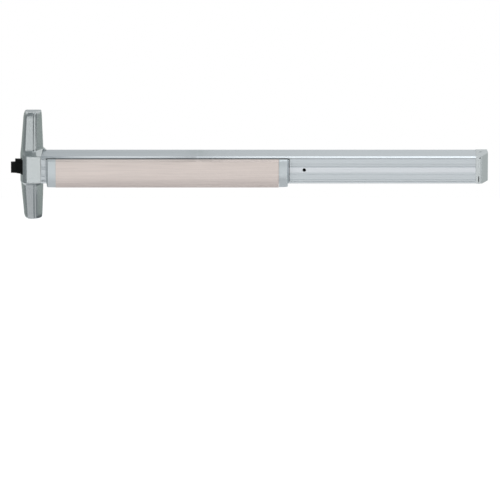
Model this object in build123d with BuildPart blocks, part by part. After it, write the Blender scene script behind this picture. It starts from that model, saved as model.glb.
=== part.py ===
from build123d import *
import math
import os

# Rim exit device for a door that opens outward, latch to the left, drawn at real size in millimetres.
# X runs along the bar away from the latch, Y points into the door and Z is up.
# The door's face is the plane Y = 0, so a depth d in front of the door is Y = -d.
# The middle of the latch head is at X = 0, Z = 0.

# Fits and sheet sizes; the overrun is how far a cutting shape goes past what it cuts
running_fit = 0.05
press_fit = 0.02
slot_play = 0.25
air_gap = 0.4
hair_gap = 0.2
overrun = 1.0
plate = 2.5
bracket_sheet = 2.0
rivet_radius = 2.0
screw_radius = 2.0
screw_play = 0.1
screw_seat = 0.1
pin_head_step = 1.2
pin_head_length = 1.4
pin_tail = 1.0

# Rail: the extruded case along the door and what closes its front
rail_height = 51.0
rail_depth = 46.0
rail_wall = 2.5
rail_left = 15.0
rail_right = 805.0
lip_height = 1.4
lip_depth = 1.6
ledge_depth = 1.5
cover_slot = 2.5
cover_groove_width = 1.0
cover_groove_depth = 0.5
cover_groove_steps = (5.0, 11.0, 17.0)

# Push pad
pad_left = 24.5
pad_cap_length = 18.2
pad_right = 465.8
pad_height = 51.0
pad_front = 76.0
pad_flange = 11.7
pad_stroke = 18.0
pad_skin_sheet = 1.5
pad_corner = 4.0
pad_cap_wall = 2.2
pad_cap_depth = 24.0
pad_cap_draft = 3.5
carrier_height = 41.0
carrier_back = 40.0
carrier_sheet = 2.0
carrier_corner = 2.5

# Latch head
head_height = 202.0
head_wall = 2.2
wing_inner = 32.2
block_half = 25.2
notch_height = 51.6
notch_left = 14.5
window_bottom = -11.6
window_top = 17.0
window_depth = 39.4
window_reach = 10.0
rod_window = 1.0
gusset_reach = 6.5
gusset_rise = 5.6
gusset_depth = 8.0

# Each head section, from its left wall at the door round to its right wall at the door, as (X, depth)
end_section = (
    (-15.8, 0), (-15.8, 12.5), (-13.8, 18), (-11.6, 22), (0, 22),
    (3.6, 21.3), (7, 19), (16, 8), (16, 0),
)
wing_section = (
    (-21.7, 0), (-21.7, 20), (-19, 28.5), (-16.3, 36), (-0.5, 36),
    (3.6, 35), (7.4, 32), (18.4, 15), (18.4, 0),
)
block_section = (
    (-22.6, 0), (-22.6, 30), (-17.6, 40), (-12, 47), (6, 47),
    (10.5, 46.9), (14.4, 46.3), (18.4, 30), (18.4, 0),
)

# Latch
latch_x = -9.0
latch_depth = 37.0
latch_pin_radius = 2.5
latch_hub_radius = 5.5
latch_swing = 55.0
latch_tip = 30.4
latch_bottom = -10.4
latch_top = 9.6
latch_fork_radius = 21.5
latch_fork_gap = 5.2
latch_lug_radius = 4.4
pull_pin_radius = 2.0
deadlatch_thickness = 5.6
deadlatch_tip = 22.6

# Bell cranks and the rod that they draw
crank_places = (110.0, 380.0)
crank_depth = 30.0
crank_pin_radius = 2.5
crank_hub_radius = 6.0
crank_plate = 2.5
crank_half_gap = 3.0
pad_arm = 24.0
rod_arm = 18.0
rod_height = 4.0
rod_width = 8.0
rod_left = -3.5
rod_riser = 8.5
spring_collar_x = 140.0
guide_places = (190.0, 440.0)
guide_half = 10.0
spring_wire = 0.7
spring_coil = 6.4
spring_bore_gap = 0.5

# Outside trim drive
cam_x = 5.4
cam_z = -36.0
cam_arm = 29.0
cam_hub_radius = 8.0
cam_shoulder = 1.0
cam_root_radius = 3.2
cam_sheet = 2.6

# Dogging
dog_x = 493.5
dog_shaft_radius = 6.0
dog_journal_radius = 4.0
dog_hex = 5.0
dog_hex_depth = 8.0
dog_front = 40.0
dog_hook_inner = 15.0
dog_hook_outer = 20.0
dog_hold_gap = 1.0
dog_tab_half = 2.0
rod_tail = 1.0
key_hole_radius = 3.2

# End bracket and end cap
end_front = rail_right + 10.0
end_right = rail_right + 22.8
end_right_back = rail_right + 21.2
end_right_depth = 23.0
end_cap_wall = 2.2
end_cap_proud = 0.5
end_hole_spacing = 28.0
end_hole_radius = 2.75
end_tongue = 26.0

# Fixing holes of the head
head_hole_x = 15.0
head_hole_z = 170.0
head_hole_radius = 2.75

# Worked out from the sizes above
half_rail = rail_height / 2
inner_half = half_rail - rail_wall
lip_half = inner_half - lip_height
slot_front = rail_depth - lip_depth
slot_back = slot_front - cover_slot
crank_half_swing = math.degrees(math.atan(pad_stroke / 2 / pad_arm))
rod_travel = rod_arm * pad_stroke / pad_arm
rod_depth = crank_depth - rod_arm
latch_pull = rod_travel / 2 / math.sin(math.radians(latch_swing / 2))
pull_x = latch_x - rod_travel / 2
pull_rest_depth = latch_depth - latch_pull * math.cos(math.radians(latch_swing / 2))
pull_mid_depth = latch_depth - latch_pull
cam_half_swing = math.degrees(math.atan(rod_travel / 2 / cam_arm))
dog_tab_x = dog_x - dog_hook_inner + dog_hold_gap + dog_tab_half - rod_travel
rod_right = dog_tab_x + dog_tab_half + rod_tail
bracket_top = plate + bracket_sheet


# Rivets that hold the brackets, each given by its X and Z, all through a plate and a bracket's foot
crank_foot = 16.0
crank_foot_half = 20.5
guide_foot = 9.0
guide_rivet_z = 5.5
dog_rivet_z = 8.0
end_rivet_z = 12.0
tongue_x = 32.0
tongue_rivet_z = 14.0
dog_foot_x = 484.0
end_foot_x = rail_right - 15.0
keeper_foot_z = -56.0
bracket_rivets = [(-11.5, -15.2), (8.0, 14.0)]
tongue_rivets = [(tongue_x, tongue_rivet_z), (tongue_x, -tongue_rivet_z)]
crank_rivets = [(x + way * crank_foot, 0) for x in crank_places for way in (1, -1)]
guide_rivets = [(x + guide_foot, way * guide_rivet_z) for x in guide_places for way in (1, -1)]
dog_rivets = [(dog_foot_x, dog_rivet_z), (dog_foot_x, -dog_rivet_z)]
end_rivets = [(end_foot_x, end_rivet_z), (end_foot_x, -end_rivet_z)]
keeper_rivets = [(cam_x, keeper_foot_z)]
rail_rivets = tongue_rivets + crank_rivets + guide_rivets + dog_rivets + end_rivets
rivet_head_radius = 3.3
rivet_head = 1.3
rivet_taper = 25


def at(x, depth):
    """A point of a plan view, drawn on a plane of constant Z."""
    return (x, -depth)


def side(depth, z):
    """A point of a side view, drawn on a plane of constant X."""
    return (-depth, z)


def save(piece, name):
    """Labels a finished piece and writes it to its own STEP file."""
    piece.part.label = name
    export_step(piece.part, f"parts/{name}.step")


def folded_sheet(points, thickness, radius, towards):
    """The section of a sheet bent along points, with its thickness to one side."""
    with BuildLine() as outline:
        FilletPolyline(*points, radius=radius)
        offset(amount=thickness, side=towards)
    make_face(outline.edges())


def closed_face(points):
    """A face with straight edges."""
    with BuildLine() as outline:
        Polyline(*points, close=True)
    make_face(outline.edges())


def link_face(start, start_radius, finish, finish_radius):
    """A flat link with round ends and straight sides."""
    with BuildLine() as ends:
        CenterArc(start, start_radius, 0, 360)
        CenterArc(finish, finish_radius, 0, 360)
    make_hull(ends.edges())


def polar(start, length, angle):
    """The point at a distance and an angle from another."""
    turn = math.radians(angle)
    return (start[0] + length * math.cos(turn), start[1] + length * math.sin(turn))


def pin_slot(start, angle, nearest, farthest, pin_radius):
    """Cuts a slot along a link, for a pin that slides between two distances from its pivot."""
    with Locations(polar(start, (nearest + farthest) / 2, angle)):
        SlotCenterToCenter(
            farthest - nearest + slot_play,
            2 * (pin_radius + slot_play),
            rotation=angle,
            mode=Mode.SUBTRACT,
        )


def rivet_holes(places):
    """Cuts the holes for some rivets through the piece that is being made."""
    with BuildSketch(Plane.XZ.offset(-overrun)) as holes:
        with Locations(*places):
            Circle(rivet_radius + press_fit)
    extrude(holes.sketch, amount=bracket_top + 2 * overrun, mode=Mode.SUBTRACT)


def round_pin(centre, radius, bottom, top, head_radius=0, head_length=0):
    """A pin along Z, with a head on its upper end if it has one."""
    with BuildSketch(Plane.XY.offset(bottom)) as shank:
        with Locations(centre):
            Circle(radius)
    extrude(shank.sketch, amount=top - bottom)
    if head_length:
        with BuildSketch(Plane.XY.offset(top)) as head:
            with Locations(centre):
                Circle(head_radius)
        extrude(head.sketch, amount=head_length)


def coil_spring(start, direction, mean_radius, length, turns):
    """A round-wire coil that winds along a direction from its start."""
    with BuildPart() as coil:
        with BuildLine() as path:
            Helix(length / turns, length, mean_radius, center=start, direction=direction)
        with BuildSketch(Plane(origin=path.line @ 0, z_dir=path.line % 0)):
            Circle(spring_wire)
        sweep(is_frenet=True)
    return coil


os.makedirs("parts", exist_ok=True)


# Head cover: a cast shell with two sloping wings and a raised middle block, open at the back
flank_share = 0.55


def head_form(inset):
    """The cover's outside, or with an inset the space inside it, open to the door."""
    flank = flank_share * inset
    stations = (
        (head_height / 2 - inset, end_section),
        (wing_inner - flank, wing_section),
        (block_half - flank, block_section),
    )
    places = [(-z, section) for z, section in stations] + [(z, section) for z, section in reversed(stations)]
    back = -(inset + overrun) if inset else 0
    with BuildPart() as form:
        for z, section in places:
            outline = [(section[0][0], back), *section[1:-1], (section[-1][0], back)]
            with BuildSketch(Plane.XY.offset(z)):
                closed_face([at(x, depth) for x, depth in outline])
                if inset:
                    offset(amount=-inset, kind=Kind.INTERSECTION, mode=Mode.REPLACE)
        loft(ruled=True)
        with BuildSketch(Plane.XZ.offset(-2 * head_wall)):
            with Locations((notch_left - inset + head_height / 4, 0)):
                Rectangle(head_height / 2, notch_height + 2 * inset)
        extrude(amount=head_height / 2, mode=Mode.SUBTRACT)
    return form.part


def head_side_x(z):
    """How far right the cover's right wall stands at height z on a wing."""
    share = (abs(z) - wing_inner) / (head_height / 2 - wing_inner)
    return wing_section[-1][0] + share * (end_section[-1][0] - wing_section[-1][0])


cover_screw_z = 55.0
cover_screw_depth = 6.5
cover_screw_head = 3.0
cover_screw_head_length = 1.6
gusset_left = 16.8
gusset_bottom = notch_height / 2

with BuildPart() as head_cover:
    add(head_form(0))
    add(head_form(head_wall), mode=Mode.SUBTRACT)
    with BuildSketch(Plane.XZ):
        for way in (1, -1):
            closed_face([
                (gusset_left, way * gusset_bottom),
                (wing_section[-1][0] + gusset_reach, way * gusset_bottom),
                (wing_section[-1][0], way * (gusset_bottom + gusset_rise)),
                (gusset_left, way * (gusset_bottom + gusset_rise)),
            ])
    extrude(amount=gusset_depth)
    with BuildSketch(Plane.YZ.offset(notch_left - head_wall - overrun)):
        with Locations(side(rail_depth / 2 - 2 * overrun, 0)):
            Rectangle(rail_depth, 2 * (inner_half + rod_window))
    extrude(amount=head_wall + 3 * overrun, mode=Mode.SUBTRACT)
    with BuildSketch(Plane.YZ.offset(block_section[0][0] - 2 * overrun)):
        with Locations(side(window_depth / 2 - overrun, (window_top + window_bottom) / 2)):
            Rectangle(window_depth + 2 * overrun, window_top - window_bottom)
    extrude(amount=window_reach, mode=Mode.SUBTRACT)
    with BuildSketch(Plane.YZ.offset(end_section[-1][0] - 2 * head_wall)):
        with Locations(side(cover_screw_depth, cover_screw_z), side(cover_screw_depth, -cover_screw_z)):
            Circle(screw_radius + screw_play)
    extrude(amount=4 * head_wall, mode=Mode.SUBTRACT)
save(head_cover, "head_cover")


# Base plate of the head, screwed to the door, with tabs for the cover's screws
base_inset = head_wall + air_gap
base_end_z = head_height / 2 - base_inset
tab_width = 10.0
tab_depth = 10.5
base_step = 1.5
tab_x = head_side_x(cover_screw_z) - base_inset

with BuildPart() as head_base_plate:
    with BuildSketch(Plane.XZ):
        closed_face([
            (end_section[0][0] + base_inset, base_end_z),
            (wing_section[0][0] + base_inset, wing_inner),
            (block_section[0][0] + base_inset, block_half),
            (block_section[0][0] + base_inset, -block_half),
            (wing_section[0][0] + base_inset, -wing_inner),
            (end_section[0][0] + base_inset, -base_end_z),
            (end_section[-1][0] - base_inset, -base_end_z),
            (wing_section[-1][0] - base_inset, -wing_inner),
            (notch_left - base_inset, -wing_inner),
            (notch_left - base_inset, -inner_half + base_step),
            (notch_left, -inner_half + base_step),
            (notch_left, inner_half - base_step),
            (notch_left - base_inset, inner_half - base_step),
            (notch_left - base_inset, wing_inner),
            (wing_section[-1][0] - base_inset, wing_inner),
            (end_section[-1][0] - base_inset, base_end_z),
        ])
        with GridLocations(head_hole_x, head_hole_z, 2, 2):
            Circle(head_hole_radius, mode=Mode.SUBTRACT)
        with Locations((cam_x, cam_z)):
            Circle(cam_hub_radius - cam_shoulder, mode=Mode.SUBTRACT)
    extrude(amount=plate)
    with BuildSketch(Plane.YZ.offset(tab_x - plate)):
        for way in (1, -1):
            with Locations(side(tab_depth / 2, way * cover_screw_z)):
                Rectangle(tab_depth, tab_width)
            with Locations(side(cover_screw_depth, way * cover_screw_z)):
                Circle(screw_radius + press_fit, mode=Mode.SUBTRACT)
    extrude(amount=plate)
    rivet_holes(bracket_rivets + keeper_rivets)
save(head_base_plate, "head_base_plate")


# Screws that hold the cover, one through each wing's right wall
with BuildPart() as cover_screws:
    for way in (1, -1):
        wall = head_side_x(cover_screw_z)
        middle = (0, -cover_screw_depth, way * cover_screw_z)
        with BuildSketch(Plane(origin=middle, z_dir=(1, 0, 0)).offset(tab_x - plate)):
            Circle(screw_radius)
        extrude(amount=wall - tab_x + plate + 2 * screw_seat)
        with BuildSketch(Plane(origin=middle, z_dir=(1, 0, 0)).offset(wall + screw_seat)):
            Circle(cover_screw_head)
        extrude(amount=cover_screw_head_length)
save(cover_screws, "cover_screws")


# Head bracket: a folded steel plate that carries the latch pin and reaches into the rail
bracket_left = -15.0
bracket_right = 45.0
bracket_half = 21.0
ear_right = -3.0
ear_radius = latch_hub_radius + 0.4
relief_right = -7.5

with BuildPart() as head_bracket:
    with BuildSketch(Plane.XZ.offset(plate)):
        with Locations(((bracket_left + bracket_right) / 2, 0)):
            Rectangle(bracket_right - bracket_left, 2 * bracket_half)
        with Locations((bracket_left, (window_top + window_bottom) / 2)):
            Rectangle(2 * (relief_right - bracket_left), window_top - window_bottom, mode=Mode.SUBTRACT)
    extrude(amount=bracket_sheet)
    for way in (1, -1):
        with BuildSketch(Plane.XY.offset(way * (bracket_half - bracket_sheet / 2))):
            closed_face([
                at(bracket_left, plate),
                at(ear_right, plate),
                at(latch_x + ear_radius, latch_depth),
                at(latch_x - ear_radius, latch_depth),
            ])
            with Locations(at(latch_x, latch_depth)):
                Circle(ear_radius)
                Circle(latch_pin_radius + press_fit, mode=Mode.SUBTRACT)
        extrude(amount=bracket_sheet / 2, both=True)
    rivet_holes(bracket_rivets + tongue_rivets)
save(head_bracket, "head_bracket")

with BuildPart() as latch_pin:
    latch_pin_end = -bracket_half - pin_tail
    latch_pin_head = latch_pin_radius + pin_head_step
    latch_pin_place = at(latch_x, latch_depth)
    round_pin(
        latch_pin_place, latch_pin_radius, latch_pin_end, bracket_half, latch_pin_head, pin_head_length
    )
save(latch_pin, "latch_pin")


# Latch bolt: a forked cast nose that swings on the latch pin, with its bevel to the front
pivot = at(latch_x, latch_depth)
pull_point = at(pull_x, pull_rest_depth)
tip_inner = 14.2
tip_outer = 9.2
bevel_start = (22.4, 8.4)
bevel_end = (11.8, 2.0)
hub_touch = (4.0, -3.8)


def from_pivot(reach, inward):
    """A point given by how far it lies left of the latch pin and nearer the door than it."""
    return (latch_x - reach, -latch_depth + inward)


with BuildPart() as latch_bolt:
    with BuildSketch(Plane.XY.offset(latch_bottom)):
        link_face(pivot, latch_hub_radius, pull_point, latch_lug_radius)
        closed_face([
            from_pivot(latch_tip, tip_inner),
            from_pivot(latch_tip, tip_outer),
            from_pivot(*bevel_start),
            from_pivot(*bevel_end),
            from_pivot(*hub_touch),
            from_pivot(0, 0),
            (pull_point[0], pull_point[1] + latch_lug_radius),
        ])
        with Locations(pivot):
            Circle(latch_pin_radius + running_fit, mode=Mode.SUBTRACT)
        with Locations(pull_point):
            Circle(pull_pin_radius + press_fit, mode=Mode.SUBTRACT)
    extrude(amount=latch_top - latch_bottom)
    with BuildSketch(Plane.XY):
        with Locations(pivot):
            Circle(latch_fork_radius)
    extrude(amount=latch_fork_gap / 2, both=True, mode=Mode.SUBTRACT)
save(latch_bolt, "latch_bolt")

with BuildPart() as latch_pull_pin:
    round_pin(pull_point, pull_pin_radius, latch_bottom + hair_gap, latch_top - hair_gap)
save(latch_pull_pin, "latch_pull_pin")


# Deadlatch: the short tongue above the bolt, on the same pin, that the strike holds in
deadlatch_bottom = latch_top + air_gap
deadlatch_top = deadlatch_bottom + deadlatch_thickness
deadlatch_step = 0.6
deadlatch_heel = (-3.8, 4.0)
deadlatch_inner = (9.0, 12.6)

with BuildPart() as deadlatch:
    with BuildSketch(Plane.XY.offset(deadlatch_bottom)):
        closed_face([
            from_pivot(deadlatch_tip, tip_inner - deadlatch_step),
            from_pivot(deadlatch_tip, tip_outer - deadlatch_step),
            from_pivot(*bevel_end),
            from_pivot(*hub_touch),
            from_pivot(*deadlatch_heel),
            from_pivot(*deadlatch_inner),
        ])
        with Locations(pivot):
            Circle(latch_hub_radius)
            Circle(latch_pin_radius + running_fit, mode=Mode.SUBTRACT)
    extrude(amount=deadlatch_thickness)
save(deadlatch, "deadlatch")


# Torsion springs on the latch pin: one under the bolt and one over the deadlatch
torsion_radius = latch_pin_radius + spring_bore_gap + spring_wire
ear_inside = bracket_half - bracket_sheet
latch_spring_turns = 4
deadlatch_spring_turns = 1
rod_spring_turns = 9
latch_spring_base = -ear_inside + spring_wire + hair_gap
latch_spring_length = latch_bottom - latch_spring_base - spring_wire - hair_gap
deadlatch_spring_base = deadlatch_top + spring_wire + hair_gap
deadlatch_spring_length = ear_inside - deadlatch_spring_base - spring_wire - hair_gap

latch_spring = coil_spring(
    (*pivot, latch_spring_base),
    (0, 0, 1),
    torsion_radius,
    latch_spring_length,
    latch_spring_turns,
)
save(latch_spring, "latch_spring")
deadlatch_spring = coil_spring(
    (*pivot, deadlatch_spring_base),
    (0, 0, 1),
    torsion_radius,
    deadlatch_spring_length,
    deadlatch_spring_turns,
)
save(deadlatch_spring, "deadlatch_spring")


# Outside trim cam: turned by a flat tailpiece from the other side of the door, it draws the rod
cam_gap = 0.5
cam_back = bracket_top + cam_gap
cam_front = cam_back + cam_sheet
cam_boss_radius = 3.0
cam_boss_length = 3.0
cam_plate_gap = 0.3
trim_eye = 2.0
cam_boss_front = cam_front + cam_boss_length
tailpiece_slot = (11.0, 2.6)
tailpiece_play = 20.0
cam_centre = (cam_x, cam_z)
trim_pin_radius = 1.8
trim_pin_place = (cam_x - rod_travel / 2, cam_z + cam_arm)
cam_reach = math.dist(cam_centre, trim_pin_place)
cam_angle = 90 + cam_half_swing
spigot_radius = cam_hub_radius - cam_shoulder - running_fit

with BuildPart() as trim_cam:
    with BuildSketch(Plane.XZ.offset(air_gap)):
        with Locations(cam_centre):
            Circle(spigot_radius)
    extrude(amount=cam_front - air_gap)
    with BuildSketch(Plane.XZ.offset(plate + cam_plate_gap)):
        with Locations(cam_centre):
            Circle(cam_hub_radius)
    extrude(amount=cam_front - plate - cam_plate_gap)
    with BuildSketch(Plane.XZ.offset(cam_back)):
        cam_tip = polar(cam_centre, cam_reach, cam_angle)
        link_face(cam_centre, cam_root_radius, cam_tip, trim_pin_radius + trim_eye)
        pin_slot(cam_centre, cam_angle, cam_arm, cam_reach, trim_pin_radius)
    extrude(amount=cam_front - cam_back)
    with BuildSketch(Plane.XZ.offset(cam_front)):
        with Locations(cam_centre):
            Circle(cam_boss_radius)
    extrude(amount=cam_boss_front - cam_front)
    with BuildSketch(Plane.XZ):
        with Locations(cam_centre):
            for turn in (tailpiece_play, -tailpiece_play):
                Rectangle(*tailpiece_slot, rotation=turn)
    extrude(amount=cam_back, mode=Mode.SUBTRACT)
save(trim_cam, "trim_cam")

keeper_half = 5.0
keeper_riser_z = -50.0
keeper_bottom_z = keeper_foot_z - keeper_half
keeper_gap = 1.0
keeper_back = cam_front + keeper_gap
keeper_front = keeper_back + bracket_sheet

with BuildPart() as cam_keeper:
    with BuildSketch(Plane.YZ.offset(cam_x - keeper_half)):
        closed_face([
            side(plate, keeper_bottom_z),
            side(plate, keeper_riser_z + bracket_sheet),
            side(keeper_back, keeper_riser_z + bracket_sheet),
            side(keeper_back, cam_z + keeper_half),
            side(keeper_front, cam_z + keeper_half),
            side(keeper_front, keeper_riser_z),
            side(bracket_top, keeper_riser_z),
            side(bracket_top, keeper_bottom_z),
        ])
    extrude(amount=2 * keeper_half)
    with BuildSketch(Plane.XZ.offset(keeper_back - overrun)):
        with Locations(cam_centre):
            Circle(cam_boss_radius + running_fit)
    extrude(amount=bracket_sheet + 2 * overrun, mode=Mode.SUBTRACT)
    rivet_holes(keeper_rivets)
save(cam_keeper, "cam_keeper")


# Pull rod: one flat bar from the latch to the dogging hook
rod_back = rod_depth - rod_width / 2
rod_front = rod_depth + rod_width / 2
pull_wall = 1.8
pull_plate = pull_pin_radius + slot_play + pull_wall
rod_pin_x = [x - rod_travel / 2 for x in crank_places]
trim_tab_half = 4.0
dog_tab_front = 22.0

with BuildPart() as pull_rod:
    with BuildSketch(Plane.XY):
        closed_face([
            at(rod_left, rod_back),
            at(rod_right, rod_back),
            at(rod_right, rod_front),
            at(dog_tab_x + dog_tab_half, rod_front),
            at(dog_tab_x + dog_tab_half, dog_tab_front),
            at(dog_tab_x - dog_tab_half, dog_tab_front),
            at(dog_tab_x - dog_tab_half, rod_front),
            at(rod_left + rod_riser, rod_front),
            at(rod_left + rod_riser, pull_rest_depth + pull_plate),
            at(pull_x, pull_rest_depth + pull_plate),
            at(pull_x, pull_mid_depth - pull_plate),
            at(rod_left, pull_mid_depth - pull_plate),
        ])
        with Locations(at(pull_x, (pull_rest_depth + pull_mid_depth) / 2)):
            SlotOverall(pull_rest_depth - pull_mid_depth + 2 * pull_plate, 2 * pull_plate, rotation=90)
            SlotOverall(
                pull_rest_depth - pull_mid_depth + 2 * (pull_pin_radius + slot_play),
                2 * (pull_pin_radius + slot_play),
                rotation=90,
                mode=Mode.SUBTRACT,
            )
        with Locations(*[at(x, rod_depth) for x in rod_pin_x]):
            Circle(rivet_radius + press_fit, mode=Mode.SUBTRACT)
    extrude(amount=rod_height / 2, both=True)
    with BuildSketch(Plane.XZ.offset(rod_back)):
        with Locations((trim_pin_place[0], (trim_pin_place[1] - trim_tab_half) / 2)):
            Rectangle(2 * trim_tab_half, trim_tab_half - trim_pin_place[1])
    extrude(amount=rod_width / 2)
    with BuildSketch(Plane.XZ.offset(rod_back)):
        with Locations(trim_pin_place):
            Circle(trim_pin_radius + press_fit)
    extrude(amount=rod_width / 2, mode=Mode.SUBTRACT)
save(pull_rod, "pull_rod")

with BuildPart() as trim_pin:
    with BuildSketch(Plane.XZ.offset(cam_back)):
        with Locations(trim_pin_place):
            Circle(trim_pin_radius)
    extrude(amount=rod_depth - cam_back)
save(trim_pin, "trim_pin")


# Spring that pushes the rod and the pad back, between a collar on the rod and the left guide
collar_length = 2.5
rod_spring_start = spring_collar_x + collar_length + spring_wire + hair_gap
rod_spring_length = guide_places[0] - rod_spring_start - spring_wire - hair_gap
collar_radius = 7.6

with BuildPart() as spring_collar:
    with BuildSketch(Plane.YZ.offset(spring_collar_x)):
        with Locations(side(rod_depth, 0)):
            Circle(collar_radius)
            Rectangle(rod_width + 2 * press_fit, rod_height + 2 * press_fit, mode=Mode.SUBTRACT)
    extrude(amount=collar_length)
save(spring_collar, "spring_collar")

rod_spring = coil_spring(
    (rod_spring_start, -rod_depth, 0), (1, 0, 0), spring_coil, rod_spring_length, rod_spring_turns
)
save(rod_spring, "rod_spring")


# Rod guides: folded brackets with a slot for the rod; the left one also stops the spring
guide_sheet = 2.5
guide_rise = 5.0
guide_top = rod_front + guide_rise
guide_foot_length = 15.0


def rod_guide(place):
    """A guide whose upright stands at X = place, with its foot to the right."""
    with BuildPart() as guide:
        with BuildSketch(Plane.YZ.offset(place)):
            with Locations(side((plate + guide_top) / 2, 0)):
                Rectangle(guide_top - plate, 2 * guide_half)
            with Locations(side(rod_depth, 0)):
                Rectangle(rod_width + 2 * air_gap, rod_height + 2 * air_gap, mode=Mode.SUBTRACT)
        extrude(amount=guide_sheet)
        with BuildSketch(Plane.XZ.offset(plate)):
            with Locations((place + guide_foot_length / 2, 0)):
                Rectangle(guide_foot_length, 2 * guide_half)
        extrude(amount=bracket_sheet)
        rivet_holes([rivet for rivet in guide_rivets if abs(rivet[0] - place - guide_foot) < rivet_radius])
    return guide


for name, place in zip(("rod_guide_left", "rod_guide_right"), guide_places):
    save(rod_guide(place), name)


# Bell cranks: each turns the pad's push toward the door into a pull along the rod
crank_outer = crank_half_gap + crank_plate
crank_ear_gap = 3.5
crank_ear = crank_outer + crank_ear_gap
crank_ear_radius = 6.5
crank_sleeve = 4.4
pad_pin_radius = 2.0
arm_end = 4.6
pad_arm_angle = 180 + crank_half_swing
rod_arm_angle = 90 + crank_half_swing
arm_stretch = 1 / math.cos(math.radians(crank_half_swing))


def bell_crank(place):
    """A forked crank that straddles the rod, in its place at rest."""
    centre = at(place, crank_depth)
    pad_end = polar(centre, pad_arm * arm_stretch, pad_arm_angle)
    rod_end = polar(centre, rod_arm * arm_stretch, rod_arm_angle)
    with BuildPart() as crank:
        for way in (1, -1):
            with BuildSketch(Plane.XY.offset(way * (crank_half_gap + crank_plate / 2))):
                link_face(centre, crank_hub_radius, pad_end, arm_end)
                link_face(centre, crank_hub_radius, rod_end, arm_end)
                pin_slot(centre, pad_arm_angle, pad_arm, pad_arm * arm_stretch, pad_pin_radius)
                pin_slot(centre, rod_arm_angle, rod_arm, rod_arm * arm_stretch, rivet_radius)
            extrude(amount=crank_plate / 2, both=True)
        with BuildSketch(Plane.XY):
            with Locations(centre):
                Circle(crank_sleeve)
        extrude(amount=crank_half_gap, both=True)
        with BuildSketch(Plane.XY):
            with Locations(centre):
                Circle(crank_pin_radius + running_fit)
        extrude(amount=crank_outer, both=True, mode=Mode.SUBTRACT)
    return crank


def crank_bracket(place):
    """A folded bracket whose two ears carry the crank's pin."""
    with BuildPart() as bracket:
        with BuildSketch(Plane.XZ.offset(plate)):
            with Locations((place, 0)):
                Rectangle(2 * crank_foot_half, 2 * (crank_ear + bracket_sheet))
        extrude(amount=bracket_sheet)
        for way in (1, -1):
            with BuildSketch(Plane.XY.offset(way * (crank_ear + bracket_sheet / 2))):
                closed_face([
                    at(place - crank_foot_half / 2, plate),
                    at(place + crank_foot_half / 2, plate),
                    at(place + crank_ear_radius, crank_depth),
                    at(place - crank_ear_radius, crank_depth),
                ])
                with Locations(at(place, crank_depth)):
                    Circle(crank_ear_radius)
                    Circle(crank_pin_radius + press_fit, mode=Mode.SUBTRACT)
            extrude(amount=bracket_sheet / 2, both=True)
        rivet_holes([rivet for rivet in crank_rivets if abs(rivet[0] - place) < crank_foot_half])
    return bracket


def crank_pin(place):
    """The headed pin that the crank turns on."""
    reach = crank_ear + bracket_sheet
    head = crank_pin_radius + pin_head_step
    with BuildPart() as pin:
        round_pin(at(place, crank_depth), crank_pin_radius, -reach - pin_tail, reach, head, pin_head_length)
    return pin


def rod_pin(place):
    """The pin through the rod that sits in the crank's lower slots."""
    with BuildPart() as pin:
        reach = crank_outer + air_gap
        round_pin(at(place - rod_travel / 2, rod_depth), rivet_radius, -reach, reach)
    return pin


# Pad brackets: they hang from the carrier inside the pad and push the cranks through a pin
pad_skin_left = pad_left + pad_cap_length
pad_skin_right = pad_right - pad_cap_length
pad_back = pad_front - pad_flange
carrier_front = pad_front - pad_skin_sheet
carrier_inside = carrier_front - carrier_sheet
pad_pin_depth = crank_depth + pad_stroke / 2
pad_leg_gap = 0.7
pad_leg_inner = crank_outer + pad_leg_gap
pad_leg_sheet = 2.0
pad_foot_half = 10.0


def pad_bracket(place):
    """A bracket with two legs that straddle the crank."""
    pin_x = place - pad_arm
    with BuildPart() as bracket:
        with BuildSketch(Plane.XZ.offset(carrier_inside - bracket_sheet)):
            with Locations((pin_x, 0)):
                Rectangle(2 * pad_foot_half, 2 * (pad_leg_inner + pad_leg_sheet))
        extrude(amount=bracket_sheet)
        for way in (1, -1):
            with BuildSketch(Plane.XY.offset(way * (pad_leg_inner + pad_leg_sheet / 2))):
                closed_face([
                    at(pin_x - pad_foot_half, carrier_inside),
                    at(pin_x + pad_foot_half, carrier_inside),
                    at(pin_x + arm_end, pad_pin_depth),
                    at(pin_x - arm_end, pad_pin_depth),
                ])
                with Locations(at(pin_x, pad_pin_depth)):
                    Circle(arm_end)
                    Circle(pad_pin_radius + press_fit, mode=Mode.SUBTRACT)
            extrude(amount=pad_leg_sheet / 2, both=True)
    return bracket


def pad_pin(place):
    """The pin between the legs that sits in the crank's front slots."""
    reach = pad_leg_inner + pad_leg_sheet + air_gap
    with BuildPart() as pin:
        round_pin(at(place - pad_arm, pad_pin_depth), pad_pin_radius, -reach, reach)
    return pin


for end, place in zip(("left", "right"), crank_places):
    save(bell_crank(place), f"crank_{end}")
    save(crank_bracket(place), f"crank_bracket_{end}")
    save(crank_pin(place), f"crank_pin_{end}")
    save(rod_pin(place), f"rod_pin_{end}")
    save(pad_bracket(place), f"pad_bracket_{end}")
    save(pad_pin(place), f"pad_pin_{end}")


# Pad skin: stainless sheet folded round the pad, with its rims turned in
rim = 1.6
half_pad = pad_height / 2

with BuildPart() as pad_skin:
    with BuildSketch(Plane.YZ.offset(pad_skin_left)):
        folded_sheet([
            side(pad_back, half_pad),
            side(pad_front, half_pad),
            side(pad_front, -half_pad),
            side(pad_back, -half_pad),
        ], pad_skin_sheet, pad_corner, Side.LEFT)
        rim_middle = half_pad - (pad_skin_sheet + rim) / 2
        for way in (1, -1):
            with Locations(side(pad_back + pad_skin_sheet / 2, way * rim_middle)):
                Rectangle(pad_skin_sheet, pad_skin_sheet + rim)
    extrude(amount=pad_skin_right - pad_skin_left)
save(pad_skin, "pad_skin")

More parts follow.
